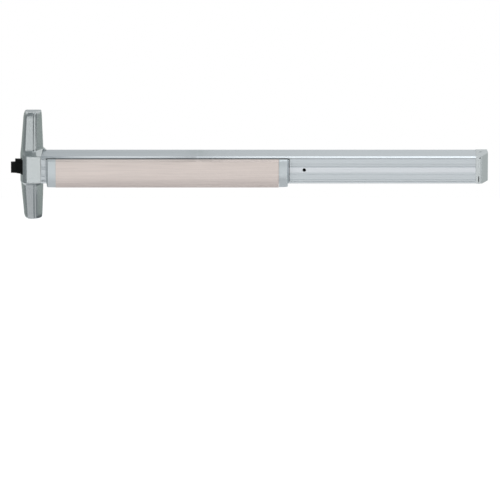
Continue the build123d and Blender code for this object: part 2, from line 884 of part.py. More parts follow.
with BuildPart() as pad_carrier:
    with BuildSketch(Plane.YZ.offset(pad_skin_left + air_gap)):
        folded_sheet([
            side(carrier_back, carrier_height / 2),
            side(carrier_front, carrier_height / 2),
            side(carrier_front, -carrier_height / 2),
            side(carrier_back, -carrier_height / 2),
        ], carrier_sheet, carrier_corner, Side.LEFT)
    extrude(amount=pad_skin_right - pad_skin_left - 2 * air_gap)
save(pad_carrier, "pad_carrier")


# Pad end caps: moulded shells whose end wall reaches back into the rail, with ribs that grip the skin
cap_back = pad_front - pad_cap_depth
cap_inner = pad_front - pad_cap_wall
cap_slope = pad_cap_draft / pad_cap_depth
cap_tongue_play = 0.6
cap_tongue_half = lip_half - cap_tongue_play
cap_edge = 1.5
cap_overlap = 1.0
cap_rib = 2.4
cap_rib_back = pad_back + 3.0
cap_rib_front = cap_inner - 2.0
cap_rib_length = 9.0


def cap_end_x(depth):
    """Where the left cap's sloping end wall stands at a depth."""
    return pad_left + (depth - cap_back) * cap_slope


with BuildPart() as pad_cap_left:
    with BuildSketch(Plane.XY):
        closed_face([
            at(pad_skin_left, pad_back),
            at(pad_skin_left, pad_front),
            at(cap_end_x(pad_front), pad_front),
            at(cap_end_x(pad_back), pad_back),
        ])
    extrude(amount=half_pad, both=True)
    fillet(pad_cap_left.edges().filter_by(Axis.X).group_by(Axis.Y)[0], pad_corner)
    fillet(pad_cap_left.faces().sort_by(Axis.X)[0].edges().sort_by(Axis.Y)[0], cap_edge)
    with BuildSketch(Plane.XY):
        closed_face([
            at(pad_skin_left + overrun, pad_back - overrun),
            at(pad_skin_left + overrun, cap_inner),
            at(cap_end_x(cap_inner) + pad_cap_wall, cap_inner),
            at(cap_end_x(pad_back - overrun) + pad_cap_wall, pad_back - overrun),
        ])
    extrude(amount=half_pad - pad_cap_wall, both=True, mode=Mode.SUBTRACT)
    with BuildSketch(Plane.XY):
        closed_face([
            at(cap_end_x(pad_back + cap_overlap), pad_back + cap_overlap),
            at(cap_end_x(cap_back), cap_back),
            at(cap_end_x(cap_back) + pad_cap_wall, cap_back),
            at(cap_end_x(pad_back + cap_overlap) + pad_cap_wall, pad_back + cap_overlap),
        ])
    extrude(amount=cap_tongue_half, both=True)
    for way in (1, -1):
        rib_middle = half_pad - pad_skin_sheet - air_gap - cap_rib / 2
        with BuildSketch(Plane.XY.offset(way * rib_middle)):
            with Locations(at(pad_skin_left, (cap_rib_back + cap_rib_front) / 2)):
                Rectangle(2 * cap_rib_length, cap_rib_front - cap_rib_back)
        extrude(amount=cap_rib / 2, both=True)
save(pad_cap_left, "pad_cap_left")

with BuildPart() as pad_cap_right:
    mirror(pad_cap_left.part, about=Plane.YZ.offset((pad_left + pad_right) / 2))
save(pad_cap_right, "pad_cap_right")


# Rubber bumpers on the rail's floor, which the carrier's rims meet at the end of the stroke
bumper_places = (70.0, 420.0)
bumper_radius = 2.4
bumper_z = (carrier_height - carrier_sheet) / 2
bumper_gap = 0.3
bumper_height = carrier_back - pad_stroke - bumper_gap

with BuildPart() as pad_bumpers:
    with BuildSketch(Plane.XZ.offset(rail_wall)):
        with Locations(*[(x, way * bumper_z) for x in bumper_places for way in (1, -1)]):
            Circle(bumper_radius)
    extrude(amount=bumper_height - rail_wall)
save(pad_bumpers, "pad_bumpers")


# Rail: an aluminium extrusion, open to the front, with a slot along each lip for its cover
rail_edge = 0.9
ledge_back = slot_back - ledge_depth

with BuildPart() as mechanism_case:
    with BuildSketch(Plane.YZ.offset(rail_left)) as rail_section:
        with Locations(side(rail_depth / 2, 0)):
            Rectangle(rail_depth, rail_height)
        fillet(rail_section.vertices(), rail_edge)
        with Locations(side((rail_wall + ledge_back) / 2, 0)):
            Rectangle(ledge_back - rail_wall, 2 * inner_half, mode=Mode.SUBTRACT)
        with Locations(side(ledge_back + rail_depth / 2, 0)):
            Rectangle(rail_depth, 2 * lip_half, mode=Mode.SUBTRACT)
        with Locations(side((slot_back + slot_front) / 2, 0)):
            Rectangle(cover_slot, 2 * inner_half, mode=Mode.SUBTRACT)
    extrude(amount=rail_right - rail_left)
    rivet_holes(rail_rivets)
save(mechanism_case, "mechanism_case")


# Rail cover and the short filler beside the head: ribbed strips that slide in the rail's slots
cover_play = 0.25
cover_sunk = 0.1
cover_face = rail_depth - cover_sunk
pad_end_gap = 1.0
filler_left = rail_left + air_gap
filler_right = pad_left - pad_end_gap
rail_cover_left = pad_right + pad_end_gap
rail_cover_right = rail_right - hair_gap


def slot_strip(left, right):
    """A strip held by its two edges in the rail's slots, with grooves along its face."""
    with BuildPart() as strip:
        with BuildSketch(Plane.YZ.offset(left)):
            with Locations(side((slot_back + slot_front) / 2, 0)):
                Rectangle(cover_slot - 2 * cover_play, 2 * (inner_half - cover_play))
            with Locations(side((slot_back + cover_play + cover_face) / 2, 0)):
                Rectangle(cover_face - slot_back - cover_play, 2 * (lip_half - cover_play))
            with Locations(*[side(cover_face, way * step) for step in cover_groove_steps for way in (1, -1)]):
                Rectangle(2 * cover_groove_depth, cover_groove_width, mode=Mode.SUBTRACT)
        extrude(amount=right - left)
    return strip


save(slot_strip(filler_left, filler_right), "case_filler")

with BuildPart() as case_cover:
    add(slot_strip(rail_cover_left, rail_cover_right).part)
    with BuildSketch(Plane.XZ.offset(slot_back - overrun)):
        with Locations((dog_x, 0)):
            Circle(key_hole_radius)
    extrude(amount=rail_depth - slot_back + 2 * overrun, mode=Mode.SUBTRACT)
save(case_cover, "case_cover")


# Dogging: a hex-socket shaft in a folded bracket turns a hook that holds the rod drawn
dog_base_left = dog_foot_x - 5.0
dog_riser_x = dog_x + 13.0
dog_bracket_half = 12.0
dog_top_back = 30.0
dog_top_left = dog_x - 9.5
dog_hook_back = rod_front + 1.0
dog_hook_front = dog_hook_back + 4.5
dog_hub_radius = dog_shaft_radius + 1.5
dog_arm_near = 3.0
dog_arm_far = 7.5
dog_lead = 2.5
dog_clip_width = 2.5
dog_clip_sheet = 1.2
dog_centre = (dog_x, 0)

with BuildPart() as dog_bracket:
    with BuildSketch(Plane.XY):
        closed_face([
            at(dog_base_left, plate),
            at(dog_riser_x + bracket_sheet, plate),
            at(dog_riser_x + bracket_sheet, dog_top_back + bracket_sheet),
            at(dog_top_left, dog_top_back + bracket_sheet),
            at(dog_top_left, dog_top_back),
            at(dog_riser_x, dog_top_back),
            at(dog_riser_x, bracket_top),
            at(dog_base_left, bracket_top),
        ])
    extrude(amount=dog_bracket_half, both=True)
    with BuildSketch(Plane.XZ.offset(dog_top_back - overrun)):
        with Locations(dog_centre):
            Circle(dog_shaft_radius + running_fit)
    extrude(amount=bracket_sheet + 2 * overrun, mode=Mode.SUBTRACT)
    with BuildSketch(Plane.XZ.offset(plate - overrun)):
        with Locations(dog_centre):
            Circle(dog_journal_radius + running_fit)
    extrude(amount=bracket_sheet + 2 * overrun, mode=Mode.SUBTRACT)
    rivet_holes(dog_rivets)
save(dog_bracket, "dog_bracket")

with BuildPart() as dog_shaft:
    with BuildSketch(Plane.XZ.offset(plate + hair_gap)):
        with Locations(dog_centre):
            Circle(dog_journal_radius)
    extrude(amount=bracket_sheet)
    with BuildSketch(Plane.XZ.offset(bracket_top + hair_gap)):
        with Locations(dog_centre):
            Circle(dog_shaft_radius)
    extrude(amount=dog_front - bracket_top - hair_gap)
    with BuildSketch(Plane.XZ.offset(dog_front - dog_hex_depth)):
        with Locations(dog_centre):
            RegularPolygon(dog_hex / 2, 6, major_radius=False)
    extrude(amount=dog_hex_depth, mode=Mode.SUBTRACT)
save(dog_shaft, "dog_shaft")

with BuildPart() as dog_hook:
    with BuildSketch(Plane.XZ.offset(dog_hook_back)):
        with Locations(dog_centre):
            Circle(dog_hub_radius)
        closed_face([
            (dog_x + dog_arm_near, 0),
            (dog_x + dog_arm_near, -dog_hook_inner),
            (dog_x - dog_lead, -dog_hook_inner),
            (dog_x - dog_lead, -dog_hook_outer),
            (dog_x + dog_arm_far, -dog_hook_outer),
            (dog_x + dog_arm_far, 0),
        ])
        with Locations(dog_centre):
            Circle(dog_shaft_radius + press_fit, mode=Mode.SUBTRACT)
    extrude(amount=dog_hook_front - dog_hook_back)
save(dog_hook, "dog_hook")

with BuildPart() as dog_clip:
    with BuildSketch(Plane.XZ.offset(dog_top_back + bracket_sheet + hair_gap)):
        with Locations(dog_centre):
            Circle(dog_shaft_radius + dog_clip_width)
            Circle(dog_shaft_radius + press_fit, mode=Mode.SUBTRACT)
    extrude(amount=dog_clip_sheet)
save(dog_clip, "dog_clip")


# End bracket: screwed to the door past the rail's end, with a tongue riveted inside the rail
end_plate_left = rail_right + 0.3
end_step = end_plate_left + 2.5
end_half = 21.0
end_tab_half = 23.2
end_tab_left = rail_right + 2.6
end_tab_right = end_tab_left + 12.0
end_tab_front = 24.0
end_screw_x = (end_tab_left + end_tab_right) / 2
end_screw_depth = 17.0
end_cap_half = half_rail + end_cap_proud

with BuildPart() as end_bracket:
    with BuildSketch(Plane.XY):
        closed_face([
            at(end_plate_left, 0),
            at(end_right_back - end_cap_wall - air_gap, 0),
            at(end_right_back - end_cap_wall - air_gap, plate),
            at(end_step, plate),
            at(end_step, bracket_top),
            at(rail_right - end_tongue, bracket_top),
            at(rail_right - end_tongue, rail_wall),
            at(end_plate_left, rail_wall),
        ])
    extrude(amount=end_half, both=True)
    for way in (1, -1):
        with BuildSketch(Plane.XY.offset(way * (end_tab_half - bracket_sheet / 2))):
            with Locations(at(end_screw_x, end_tab_front / 2)):
                Rectangle(end_tab_right - end_tab_left, end_tab_front)
        extrude(amount=bracket_sheet / 2, both=True)
        with BuildSketch(Plane.XY.offset(way * end_half)):
            with Locations(at(end_screw_x, plate / 2)):
                Rectangle(end_tab_right - end_tab_left, plate)
        extrude(amount=way * (end_tab_half - end_half))
    with BuildSketch(Plane.XY):
        with Locations(at(end_screw_x, end_screw_depth)):
            Circle(screw_radius + press_fit)
    extrude(amount=half_rail, both=True, mode=Mode.SUBTRACT)
    with BuildSketch(Plane.XZ):
        with Locations((end_screw_x, 0)):
            with GridLocations(0, end_hole_spacing, 1, 2):
                Circle(end_hole_radius)
    extrude(amount=plate, mode=Mode.SUBTRACT)
    rivet_holes(end_rivets)
save(end_bracket, "end_bracket")

end_cap_left = rail_right + cover_sunk
end_cap_round = 2.0
end_cap_edge = 0.8
end_cap_shift = 1.0

with BuildPart() as end_cap:
    with BuildSketch(Plane.XY):
        closed_face([
            at(end_cap_left, hair_gap),
            at(end_right_back, hair_gap),
            at(end_right, end_right_depth),
            at(end_front, rail_depth),
            at(end_cap_left, rail_depth),
        ])
    extrude(amount=end_cap_half, both=True)
    fillet(end_cap.edges().filter_by(Axis.Z).sort_by(Axis.X)[-1], end_cap_round)
    end_outline = end_cap.edges().filter_by(Plane.XY).filter_by(Axis.X, reverse=True)
    fillet(end_outline.group_by(Axis.X)[-1], end_cap_edge)
    with BuildSketch(Plane.XY):
        closed_face([
            at(end_cap_left - overrun, -overrun),
            at(end_right_back - end_cap_wall, -overrun),
            at(end_right - end_cap_wall, end_right_depth - end_cap_shift),
            at(end_front - end_cap_shift, rail_depth - end_cap_wall),
            at(end_cap_left - overrun, rail_depth - end_cap_wall),
        ])
    extrude(amount=end_cap_half - end_cap_wall, both=True, mode=Mode.SUBTRACT)
    with BuildSketch(Plane.XY):
        with Locations(at(end_screw_x, end_screw_depth)):
            Circle(screw_radius + screw_play)
    extrude(amount=end_cap_half + overrun, both=True, mode=Mode.SUBTRACT)
save(end_cap, "end_cap")

with BuildPart() as end_cap_screws:
    for way in (1, -1):
        with BuildSketch(Plane.XY.offset(way * (end_tab_half - bracket_sheet))):
            with Locations(at(end_screw_x, end_screw_depth)):
                Circle(screw_radius)
        extrude(amount=way * (end_cap_half - end_tab_half + bracket_sheet + 2 * screw_seat))
        with BuildSketch(Plane.XY.offset(way * (end_cap_half + screw_seat))):
            with Locations(at(end_screw_x, end_screw_depth)):
                Circle(cover_screw_head)
        extrude(amount=way * cover_screw_head_length)
save(end_cap_screws, "end_cap_screws")


# Rivets: one for each hole of the brackets, flush at the back and domed at the front
with BuildPart() as bracket_rivet_set:
    with BuildSketch(Plane.XZ.offset(hair_gap)):
        with Locations(*bracket_rivets, *keeper_rivets, *rail_rivets):
            Circle(rivet_radius)
    extrude(amount=bracket_top - hair_gap)
    with BuildSketch(Plane.XZ.offset(bracket_top)):
        with Locations(*bracket_rivets, *keeper_rivets, *rail_rivets):
            Circle(rivet_head_radius)
    extrude(amount=rivet_head, taper=rivet_taper)
save(bracket_rivet_set, "bracket_rivets")
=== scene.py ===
import math

import bmesh
import bpy
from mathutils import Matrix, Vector


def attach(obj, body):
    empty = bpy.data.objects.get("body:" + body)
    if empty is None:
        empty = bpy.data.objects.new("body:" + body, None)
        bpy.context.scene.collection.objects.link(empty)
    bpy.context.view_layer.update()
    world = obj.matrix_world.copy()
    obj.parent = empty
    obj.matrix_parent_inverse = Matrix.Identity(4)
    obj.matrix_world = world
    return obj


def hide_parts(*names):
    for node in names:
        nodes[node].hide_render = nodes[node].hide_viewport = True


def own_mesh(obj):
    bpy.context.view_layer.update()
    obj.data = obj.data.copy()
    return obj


# Rim exit device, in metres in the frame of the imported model: X along the bar away from the latch,
# Y into the door, Z up, the door's face at Y = 0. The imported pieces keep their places.
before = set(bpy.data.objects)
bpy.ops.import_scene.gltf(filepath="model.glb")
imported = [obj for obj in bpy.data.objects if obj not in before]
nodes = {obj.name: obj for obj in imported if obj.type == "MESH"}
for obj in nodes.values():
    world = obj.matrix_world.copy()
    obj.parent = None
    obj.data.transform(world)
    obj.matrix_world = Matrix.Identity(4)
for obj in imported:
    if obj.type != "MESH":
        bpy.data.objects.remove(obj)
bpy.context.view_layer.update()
scene = bpy.context.scene
scene.view_settings.view_transform = "Standard"


# Camera: a long lens, square to the bar and looking down on it, as the photograph was taken.
# The door's face at the middle of the head lies 86.95 pixels above the frame's middle.
camera_distance = 16.0
camera_elevation = math.radians(16.0)
metres_per_pixel = 0.00182
frame_width = 500
head_above_middle = 86.95
head_left_of_middle = 217.05
sensor = 36.0
tilt = math.asin(head_above_middle * metres_per_pixel / camera_distance)
pixels_to_sensor = camera_distance * math.cos(tilt) / metres_per_pixel

camera_data = bpy.data.cameras.new("camera")
camera_data.sensor_width = sensor
camera_data.lens = pixels_to_sensor * sensor / frame_width
camera = bpy.data.objects.new("camera", camera_data)
camera.location = (
    head_left_of_middle * metres_per_pixel,
    -camera_distance * math.cos(camera_elevation),
    camera_distance * math.sin(camera_elevation),
)
camera.rotation_euler = (math.pi / 2 - camera_elevation - tilt, 0, 0)
scene.collection.objects.link(camera)
scene.camera = camera


# Studio: a white surround, a pale floor a metre below, and large soft lamps in front.
# The surround and the floor are plain white to the eye and in reflections, and the floor keeps
# the object's shadow.
def linear(code):
    """An sRGB hex colour as the linear colour that the shaders work in."""
    channels = [int(code[i : i + 2], 16) / 255 for i in (1, 3, 5)]
    return (*[c / 12.92 if c <= 0.04045 else ((c + 0.055) / 1.055) ** 2.4 for c in channels], 1.0)


def add(tree, kind, inputs, **settings):
    """Adds a node to a tree, sets its properties, and fills or links its inputs."""
    made = tree.nodes.new(kind)
    for name, value in settings.items():
        setattr(made, name, value)
    for socket, value in inputs.items():
        if isinstance(value, bpy.types.NodeSocket):
            tree.links.new(value, made.inputs[socket])
        else:
            made.inputs[socket].default_value = value
    return made


def new_material(name):
    """An empty material with nodes."""
    material = bpy.data.materials.new(name)
    material.use_nodes = True
    material.node_tree.nodes.clear()
    return material


def seen_directly(tree):
    """One for what the eye, a reflection or glass sees, and nothing for light on the object."""
    path = add(tree, "ShaderNodeLightPath", {})
    eye = add(
        tree,
        "ShaderNodeMath",
        {0: path.outputs["Is Camera Ray"], 1: path.outputs["Is Glossy Ray"]},
        operation="MAXIMUM",
    )
    both = add(
        tree,
        "ShaderNodeMath",
        {0: eye.outputs[0], 1: path.outputs["Is Transmission Ray"]},
        operation="MAXIMUM",
    )
    return both.outputs[0]


surround_light = 0.36
world = bpy.data.worlds.new("surround")
scene.world = world
world.use_nodes = True
world.node_tree.nodes.clear()
white_surround = add(
    world.node_tree, "ShaderNodeBackground", {"Color": linear("#ffffff"), "Strength": 1.0}
)
soft_surround = add(
    world.node_tree,
    "ShaderNodeBackground",
    {"Color": linear("#f4f8ff"), "Strength": surround_light},
)
surround_mix = add(
    world.node_tree,
    "ShaderNodeMixShader",
    {0: seen_directly(world.node_tree), 1: soft_surround.outputs[0], 2: white_surround.outputs[0]},
)
add(world.node_tree, "ShaderNodeOutputWorld", {0: surround_mix.outputs[0]})

floor_level = -1.0
floor_half = 3.2
floor_mesh = bpy.data.meshes.new("floor")
floor_mesh.from_pydata(
    [
        (x * floor_half, y * floor_half, floor_level)
        for x, y in ((-1, -1), (1, -1), (1, 1), (-1, 1))
    ],
    [],
    [(0, 1, 2, 3)],
)
floor = bpy.data.objects.new("floor", floor_mesh)
scene.collection.objects.link(floor)

floor_paint = new_material("matt_white_floor_paint")
paint = floor_paint.node_tree
floor_lit = add(paint, "ShaderNodeBsdfDiffuse", {"Color": linear("#f2f2f2")})
floor_glow = add(paint, "ShaderNodeEmission", {"Color": linear("#ffffff"), "Strength": 0.7})
floor_seen = add(paint, "ShaderNodeAddShader", {0: floor_lit.outputs[0], 1: floor_glow.outputs[0]})
floor_mix = add(
    paint,
    "ShaderNodeMixShader",
    {0: seen_directly(paint), 1: floor_lit.outputs[0], 2: floor_seen.outputs[0]},
)
floor_below = add(paint, "ShaderNodeBsdfTransparent", {})
floor_side = add(paint, "ShaderNodeNewGeometry", {})
floor_face = add(
    paint,
    "ShaderNodeMixShader",
    {0: floor_side.outputs["Backfacing"], 1: floor_mix.outputs[0], 2: floor_below.outputs[0]},
)
add(paint, "ShaderNodeOutputMaterial", {0: floor_face.outputs[0]})
floor_mesh.materials.append(floor_paint)

bar_middle = Vector((0.4, 0, 0))
lamps = (
    ("key_lamp", (-0.35, -3.2, 1.6), 2.4, 1.6, 80.0, "#fffdf9", False),
    ("top_lamp", (1.0, -0.75, 2.6), 1.6, 0.9, 6.5, "#f6faff", True),
)
for name, place, width, height, power, colour, mirrored in lamps:
    data = bpy.data.lights.new(name, "AREA")
    data.shape = "RECTANGLE"
    data.size = width
    data.size_y = height
    data.energy = power
    data.color = linear(colour)[:3]
    lamp = bpy.data.objects.new(name, data)
    lamp.location = place
    lamp.visible_glossy = mirrored
    lamp.rotation_euler = (bar_middle - Vector(place)).to_track_quat("-Z", "Y").to_euler()
    scene.collection.objects.link(lamp)

# Dim panels that only the metal mirrors, each between two corners, as a photographer hangs them
# round bright metal. They throw no light on the object and no shadow, and the camera doesn't see
# them. The one behind darkens to the left, where the room beyond the door is dim.
dim_end, bright_end = -0.3, 0.6
panels = (
    ("panel_left", "#a5aca8", (-0.35, 0.1, -0.6), (-0.35, 1.2, 0.3)),
    ("panel_left_front", "#7d8384", (-0.35, -0.38, -0.6), (-0.35, 0.1, 0.3)),
    ("panel_right", "#b0b8b3", (0.3, 0.02, -0.25), (0.3, 1.0, 0.14)),
    ("panel_right_low", "#5a5f62", (0.3, 0.02, -0.7), (0.3, 1.0, -0.25)),
    ("panel_right_front", "#5f6668", (0.3, -0.35, 0.04), (0.3, 0.005, 0.5)),
    ("panel_under_pad", "#868b8e", (0.1, -0.14, -0.32), (0.1, 0.0, -0.09)),
    ("panel_over_head", "#757e80", (-0.35, -0.37, 0.3), (0.055, 0.05, 0.3)),
    ("panel_back", "#e6e9ea", (-2.0, 2.0, 0.1), (3.0, 2.0, 0.85)),
    ("panel_low", "#dadadc", (-1.0, -1.4, -0.95), (2.0, 0.6, -0.95)),
    ("panel_low_front", "#9a9a9d", (-1.0, -2.2, -0.95), (2.0, -1.4, -0.95)),
    ("panel_high_front", "#d2d5d6", (-1.5, -4.0, 0.7), (2.5, -4.0, 3.0)),
    ("panel_end", "#d9dcdb", (1.3, -0.1, -0.6), (1.3, 1.0, 0.3)),
)
for name, colour, low_corner, high_corner in panels:
    across = [i for i in range(3) if low_corner[i] != high_corner[i]]
    corners = []
    for turns in ((0, 0), (1, 0), (1, 1), (0, 1)):
        corner = list(low_corner)
        for axis, turn in zip(across, turns):
            corner[axis] = (low_corner, high_corner)[turn][axis]
        corners.append(corner)
    panel_mesh = bpy.data.meshes.new(name)
    panel_mesh.from_pydata(corners, [], [(0, 1, 2, 3)])
    panel_cloth = new_material(name + "_cloth")
    panel_cloth.cycles.emission_sampling = "NONE"
    cloth = panel_cloth.node_tree
    glow = add(cloth, "ShaderNodeEmission", {"Color": linear(colour), "Strength": 1.0})
    if name == "panel_back":
        place = add(cloth, "ShaderNodeTexCoord", {})
        split = add(cloth, "ShaderNodeSeparateXYZ", {0: place.outputs["Object"]})
        slide = add(
            cloth,
            "ShaderNodeMapRange",
            {"Value": split.outputs[0], "From Min": dim_end, "From Max": bright_end},
        )
        # A colour Mix has its factor at input 0, and its two colours at 6 and 7.
        fade = add(
            cloth,
            "ShaderNodeMix",
            {0: slide.outputs[0], 6: linear("#a2a8ab"), 7: linear(colour)},
            data_type="RGBA",
        )
        cloth.links.new(fade.outputs[2], glow.inputs["Color"])
    add(cloth, "ShaderNodeOutputMaterial", {0: glow.outputs[0]})
    panel_mesh.materials.append(panel_cloth)
    panel = bpy.data.objects.new(name, panel_mesh)
    panel.visible_camera = False
    panel.visible_shadow = False
    panel.visible_diffuse = False
    panel.visible_transmission = False
    scene.collection.objects.link(panel)


# Head cover: a zinc casting, sprayed with fine aluminium paint, whose walls slope from a raised
# middle block. Its edges are rounded by the mould and the spray, and its right side is notched
# for the rail.
def face_outwards(piece):
    """Turns every face of a closed mesh outwards."""
    work = bmesh.new()
    work.from_mesh(piece.data)
    bmesh.ops.recalc_face_normals(work, faces=work.faces)
    work.to_mesh(piece.data)
    work.free()


def mesh_object(name, points, faces):
    """A closed mesh drawn in millimetres, as an object in the frame."""
    mesh = bpy.data.meshes.new(name)
    mesh.from_pydata([Vector(point) / 1000 for point in points], [], faces)
    mesh.validate()
    made = bpy.data.objects.new(name, mesh)
    scene.collection.objects.link(made)
    face_outwards(made)
    return made


def box_object(name, low, high):
    """A box between two corners in millimetres, for cutting."""
    points = [
        (x, y, z) for x in (low[0], high[0]) for y in (low[1], high[1]) for z in (low[2], high[2])
    ]
    faces = [(0, 1, 3, 2), (4, 6, 7, 5), (0, 4, 5, 1), (2, 3, 7, 6), (0, 2, 6, 4), (1, 5, 7, 3)]
    return mesh_object(name, points, faces)


sliver = 1e-5


def combine(body, tool, operation):
    """Cuts a tool out of a body or joins it on, removes the tool, and dissolves slivers."""
    change = body.modifiers.new("combine", "BOOLEAN")
    change.object = tool
    change.operation = operation
    change.solver = "EXACT"
    result = bpy.data.meshes.new_from_object(
        body.evaluated_get(bpy.context.evaluated_depsgraph_get())
    )
    work = bmesh.new()
    work.from_mesh(result)
    bmesh.ops.dissolve_degenerate(work, dist=sliver, edges=work.edges)
    work.to_mesh(result)
    work.free()
    body.modifiers.clear()
    body.data = result
    bpy.data.objects.remove(tool)


def soften(piece, angle=35):
    """Smooth shading up to an angle, with the large flats kept flat."""
    for polygon in piece.data.polygons:
        polygon.use_smooth = True
    piece.data.set_sharp_from_angle(angle=math.radians(angle))
    weighted = piece.modifiers.new("weighted_normals", "WEIGHTED_NORMAL")
    weighted.keep_sharp = True


def dress(piece, *materials):
    """Gives a piece its materials."""
    piece.data.materials.clear()
    for material in materials:
        piece.data.materials.append(material)


def rounded_line(points, reaches, steps):
    """Straight runs whose inner corners become curves that start a reach away from them."""
    longest_share = 0.45
    line = [points[0]]
    for i in range(1, len(points) - 1):
        corner = points[i]
        before, after = points[i - 1] - corner, points[i + 1] - corner
        reach = min(reaches[i - 1], longest_share * before.length, longest_share * after.length)
        start = corner + before.normalized() * reach
        finish = corner + after.normalized() * reach
        for k in range(steps + 1):
            t = k / steps
            line.append((1 - t) ** 2 * start + 2 * t * (1 - t) * corner + t * t * finish)
    line.append(points[-1])
    return line


# Sections of the cover as (X, depth from the door) in millimetres, from the left wall round to
# the right one. Each reach says how far a corner's rounding starts from it.
end_section = [
    (-15.6, 0), (-15.6, 12.5), (-13.4, 17.6), (-10.0, 21.6), (-7, 22), (0.9, 22), (3.1, 20.4),
    (5.4, 20.2), (7.4, 18.6), (13.4, 11.6), (16.5, 6.5), (16.5, 0),
]
wing_section = [
    (-21.2, 0), (-21.2, 20), (-18.1, 29.5), (-13.4, 35.6), (-9.5, 36), (0.9, 36), (3.2, 34.0),
    (5.6, 33.7), (7.9, 31.6), (14.8, 21.8), (19.0, 13), (19.0, 0),
]
block_section = [
    (-22.2, 0), (-22.2, 30), (-17.6, 39.8), (-12.8, 44.2), (-8.6, 46.1), (-2.0, 46.95), (6, 47),
    (8, 47), (10, 47), (13, 47), (15.8, 46.9), (19.0, 0),
]
section_reaches = (4, 2.2, 1.6, 2.0, 0.7, 0.6, 0.6, 0.8, 2.0, 3)
least_reach = 0.4
head_half = 101.0
wing_inner = 32.2
block_half = 25.2
cover_wall = 1.8
hollow_back = -6.0
# The ends round off over their last 15 mm, and draw in by shares to a centre and to the door.
end_round = 15.0
end_left_draw = 0.24
end_front_draw = 0.34
end_centre_x = 8.0
end_steps = 6
ring_shift = 0.55
shoulder_reaches = (1.6, 3.2)
shoulder_run = 4.0


def inset_section(section, amount):
    """A section moved inwards by a wall's thickness."""
    points = [Vector(point) for point in section]
    moved = []
    for i, point in enumerate(points):
        runs = []
        if i > 0:
            runs.append((point - points[i - 1]).normalized())
        if i < len(points) - 1:
            runs.append((points[i + 1] - point).normalized())
        inward = [Vector((run.y, -run.x)) for run in runs]
        if len(inward) == 1:
            moved.append(point + inward[0] * amount)
        else:
            middle = (inward[0] + inward[1]).normalized()
            moved.append(point + middle * amount / middle.dot(inward[0]))
    return moved


def head_solid(name, wall, back):
    """The closed outside form of the cover, or the form of its hollow when a wall is given."""
    rings = []
    for section, z in (
        (end_section, head_half), (wing_section, wing_inner), (block_section, block_half)
    ):
        points = inset_section(section, wall) if wall else [Vector(p) for p in section]
        points[0].y = points[-1].y = back
        reaches = [max(least_reach, reach - wall) for reach in section_reaches]
        line = rounded_line(points, reaches, steps=4)
        rings.append((line, z - (wall if z == head_half else ring_shift * wall)))
    end_line, end_z = rings[0]
    columns = []
    for i in range(len(end_line)):
        path = []
        for line, z in reversed(rings):
            path.append(Vector((line[i].x, -line[i].y, z)))
        straight = (end_z - end_round - path[1].z) / (end_z - path[1].z)
        path[2] = path[1] + (path[2] - path[1]) * straight
        inside = path[0] - Vector((0, 0, shoulder_run))
        half = rounded_line([inside, *path], shoulder_reaches, steps=5)[1:]
        last = half[-1]
        for k in range(1, end_steps + 1):
            turn = math.radians(90 / end_steps * k)
            shrink = 1 - math.cos(turn)
            half.append(
                Vector((
                    end_centre_x + (last.x - end_centre_x) * (1 - end_left_draw * shrink),
                    last.y * (1 - end_front_draw * shrink) if last.y < 0 else last.y,
                    end_z - end_round + end_round * math.sin(turn),
                ))
            )
        columns.append([Vector((p.x, p.y, -p.z)) for p in reversed(half)] + half)
    points = [point for column in columns for point in column]
    tall = len(columns[0])
    across = len(columns)
    faces = []
    for i in range(across - 1):
        for k in range(tall - 1):
            a = i * tall + k
            faces.append((a, a + 1, a + tall + 1, a + tall))
    first, last = 0, (across - 1) * tall
    for k in range(tall - 1):
        faces.append((first + k, last + k, last + k + 1, first + k + 1))
    faces.append(tuple(i * tall for i in range(across)))
    faces.append(tuple(i * tall + tall - 1 for i in reversed(range(across))))
    return mesh_object(name, points, faces)


# The rail's notch, the window behind it for the rod, and the latch's window, as their lowest and
# highest corners. A gusset closes the corner over and under the rail.
notch_left = 15.0
notch_half = 25.8
notch = (notch_left, -60, -notch_half), (60, 5, notch_half)
rod_window = (notch_left - 4, -44, -24), (notch_left + 2, 2, 24)
latch_window = (-26, -39.4, -11.6), (-14.6, 2, 17.0)
gusset_outline = [(17.7, 25.8), (24.9, 25.8), (18.4, 31.4), (17.7, 31.4)]
gusset_back, gusset_front = -0.02, -8.0
cover = head_solid("head_cover_casting", wall=0, back=0)
combine(cover, box_object("notch", *notch), "DIFFERENCE")
hollow = head_solid("hollow", cover_wall, hollow_back)
wall_left, wall_half = notch_left - cover_wall, notch_half + cover_wall
notch_wall = box_object("notch_wall", (wall_left, -60, -wall_half), (60, 8, wall_half))
combine(hollow, notch_wall, "DIFFERENCE")
combine(cover, hollow, "DIFFERENCE")
combine(cover, box_object("rod_window", *rod_window), "DIFFERENCE")
combine(cover, box_object("latch_window", *latch_window), "DIFFERENCE")
for way in (1, -1):
    points = [(x, y, way * z) for y in (gusset_back, gusset_front) for x, z in gusset_outline]
    faces = [(0, 1, 2, 3), (7, 6, 5, 4), (0, 4, 5, 1), (1, 5, 6, 2), (2, 6, 7, 3), (3, 7, 4, 0)]
    # The mirrored gusset's faces run the other way round.
    if way < 0:
        faces = [tuple(reversed(face)) for face in faces]
    combine(cover, mesh_object("gusset", points, faces), "UNION")


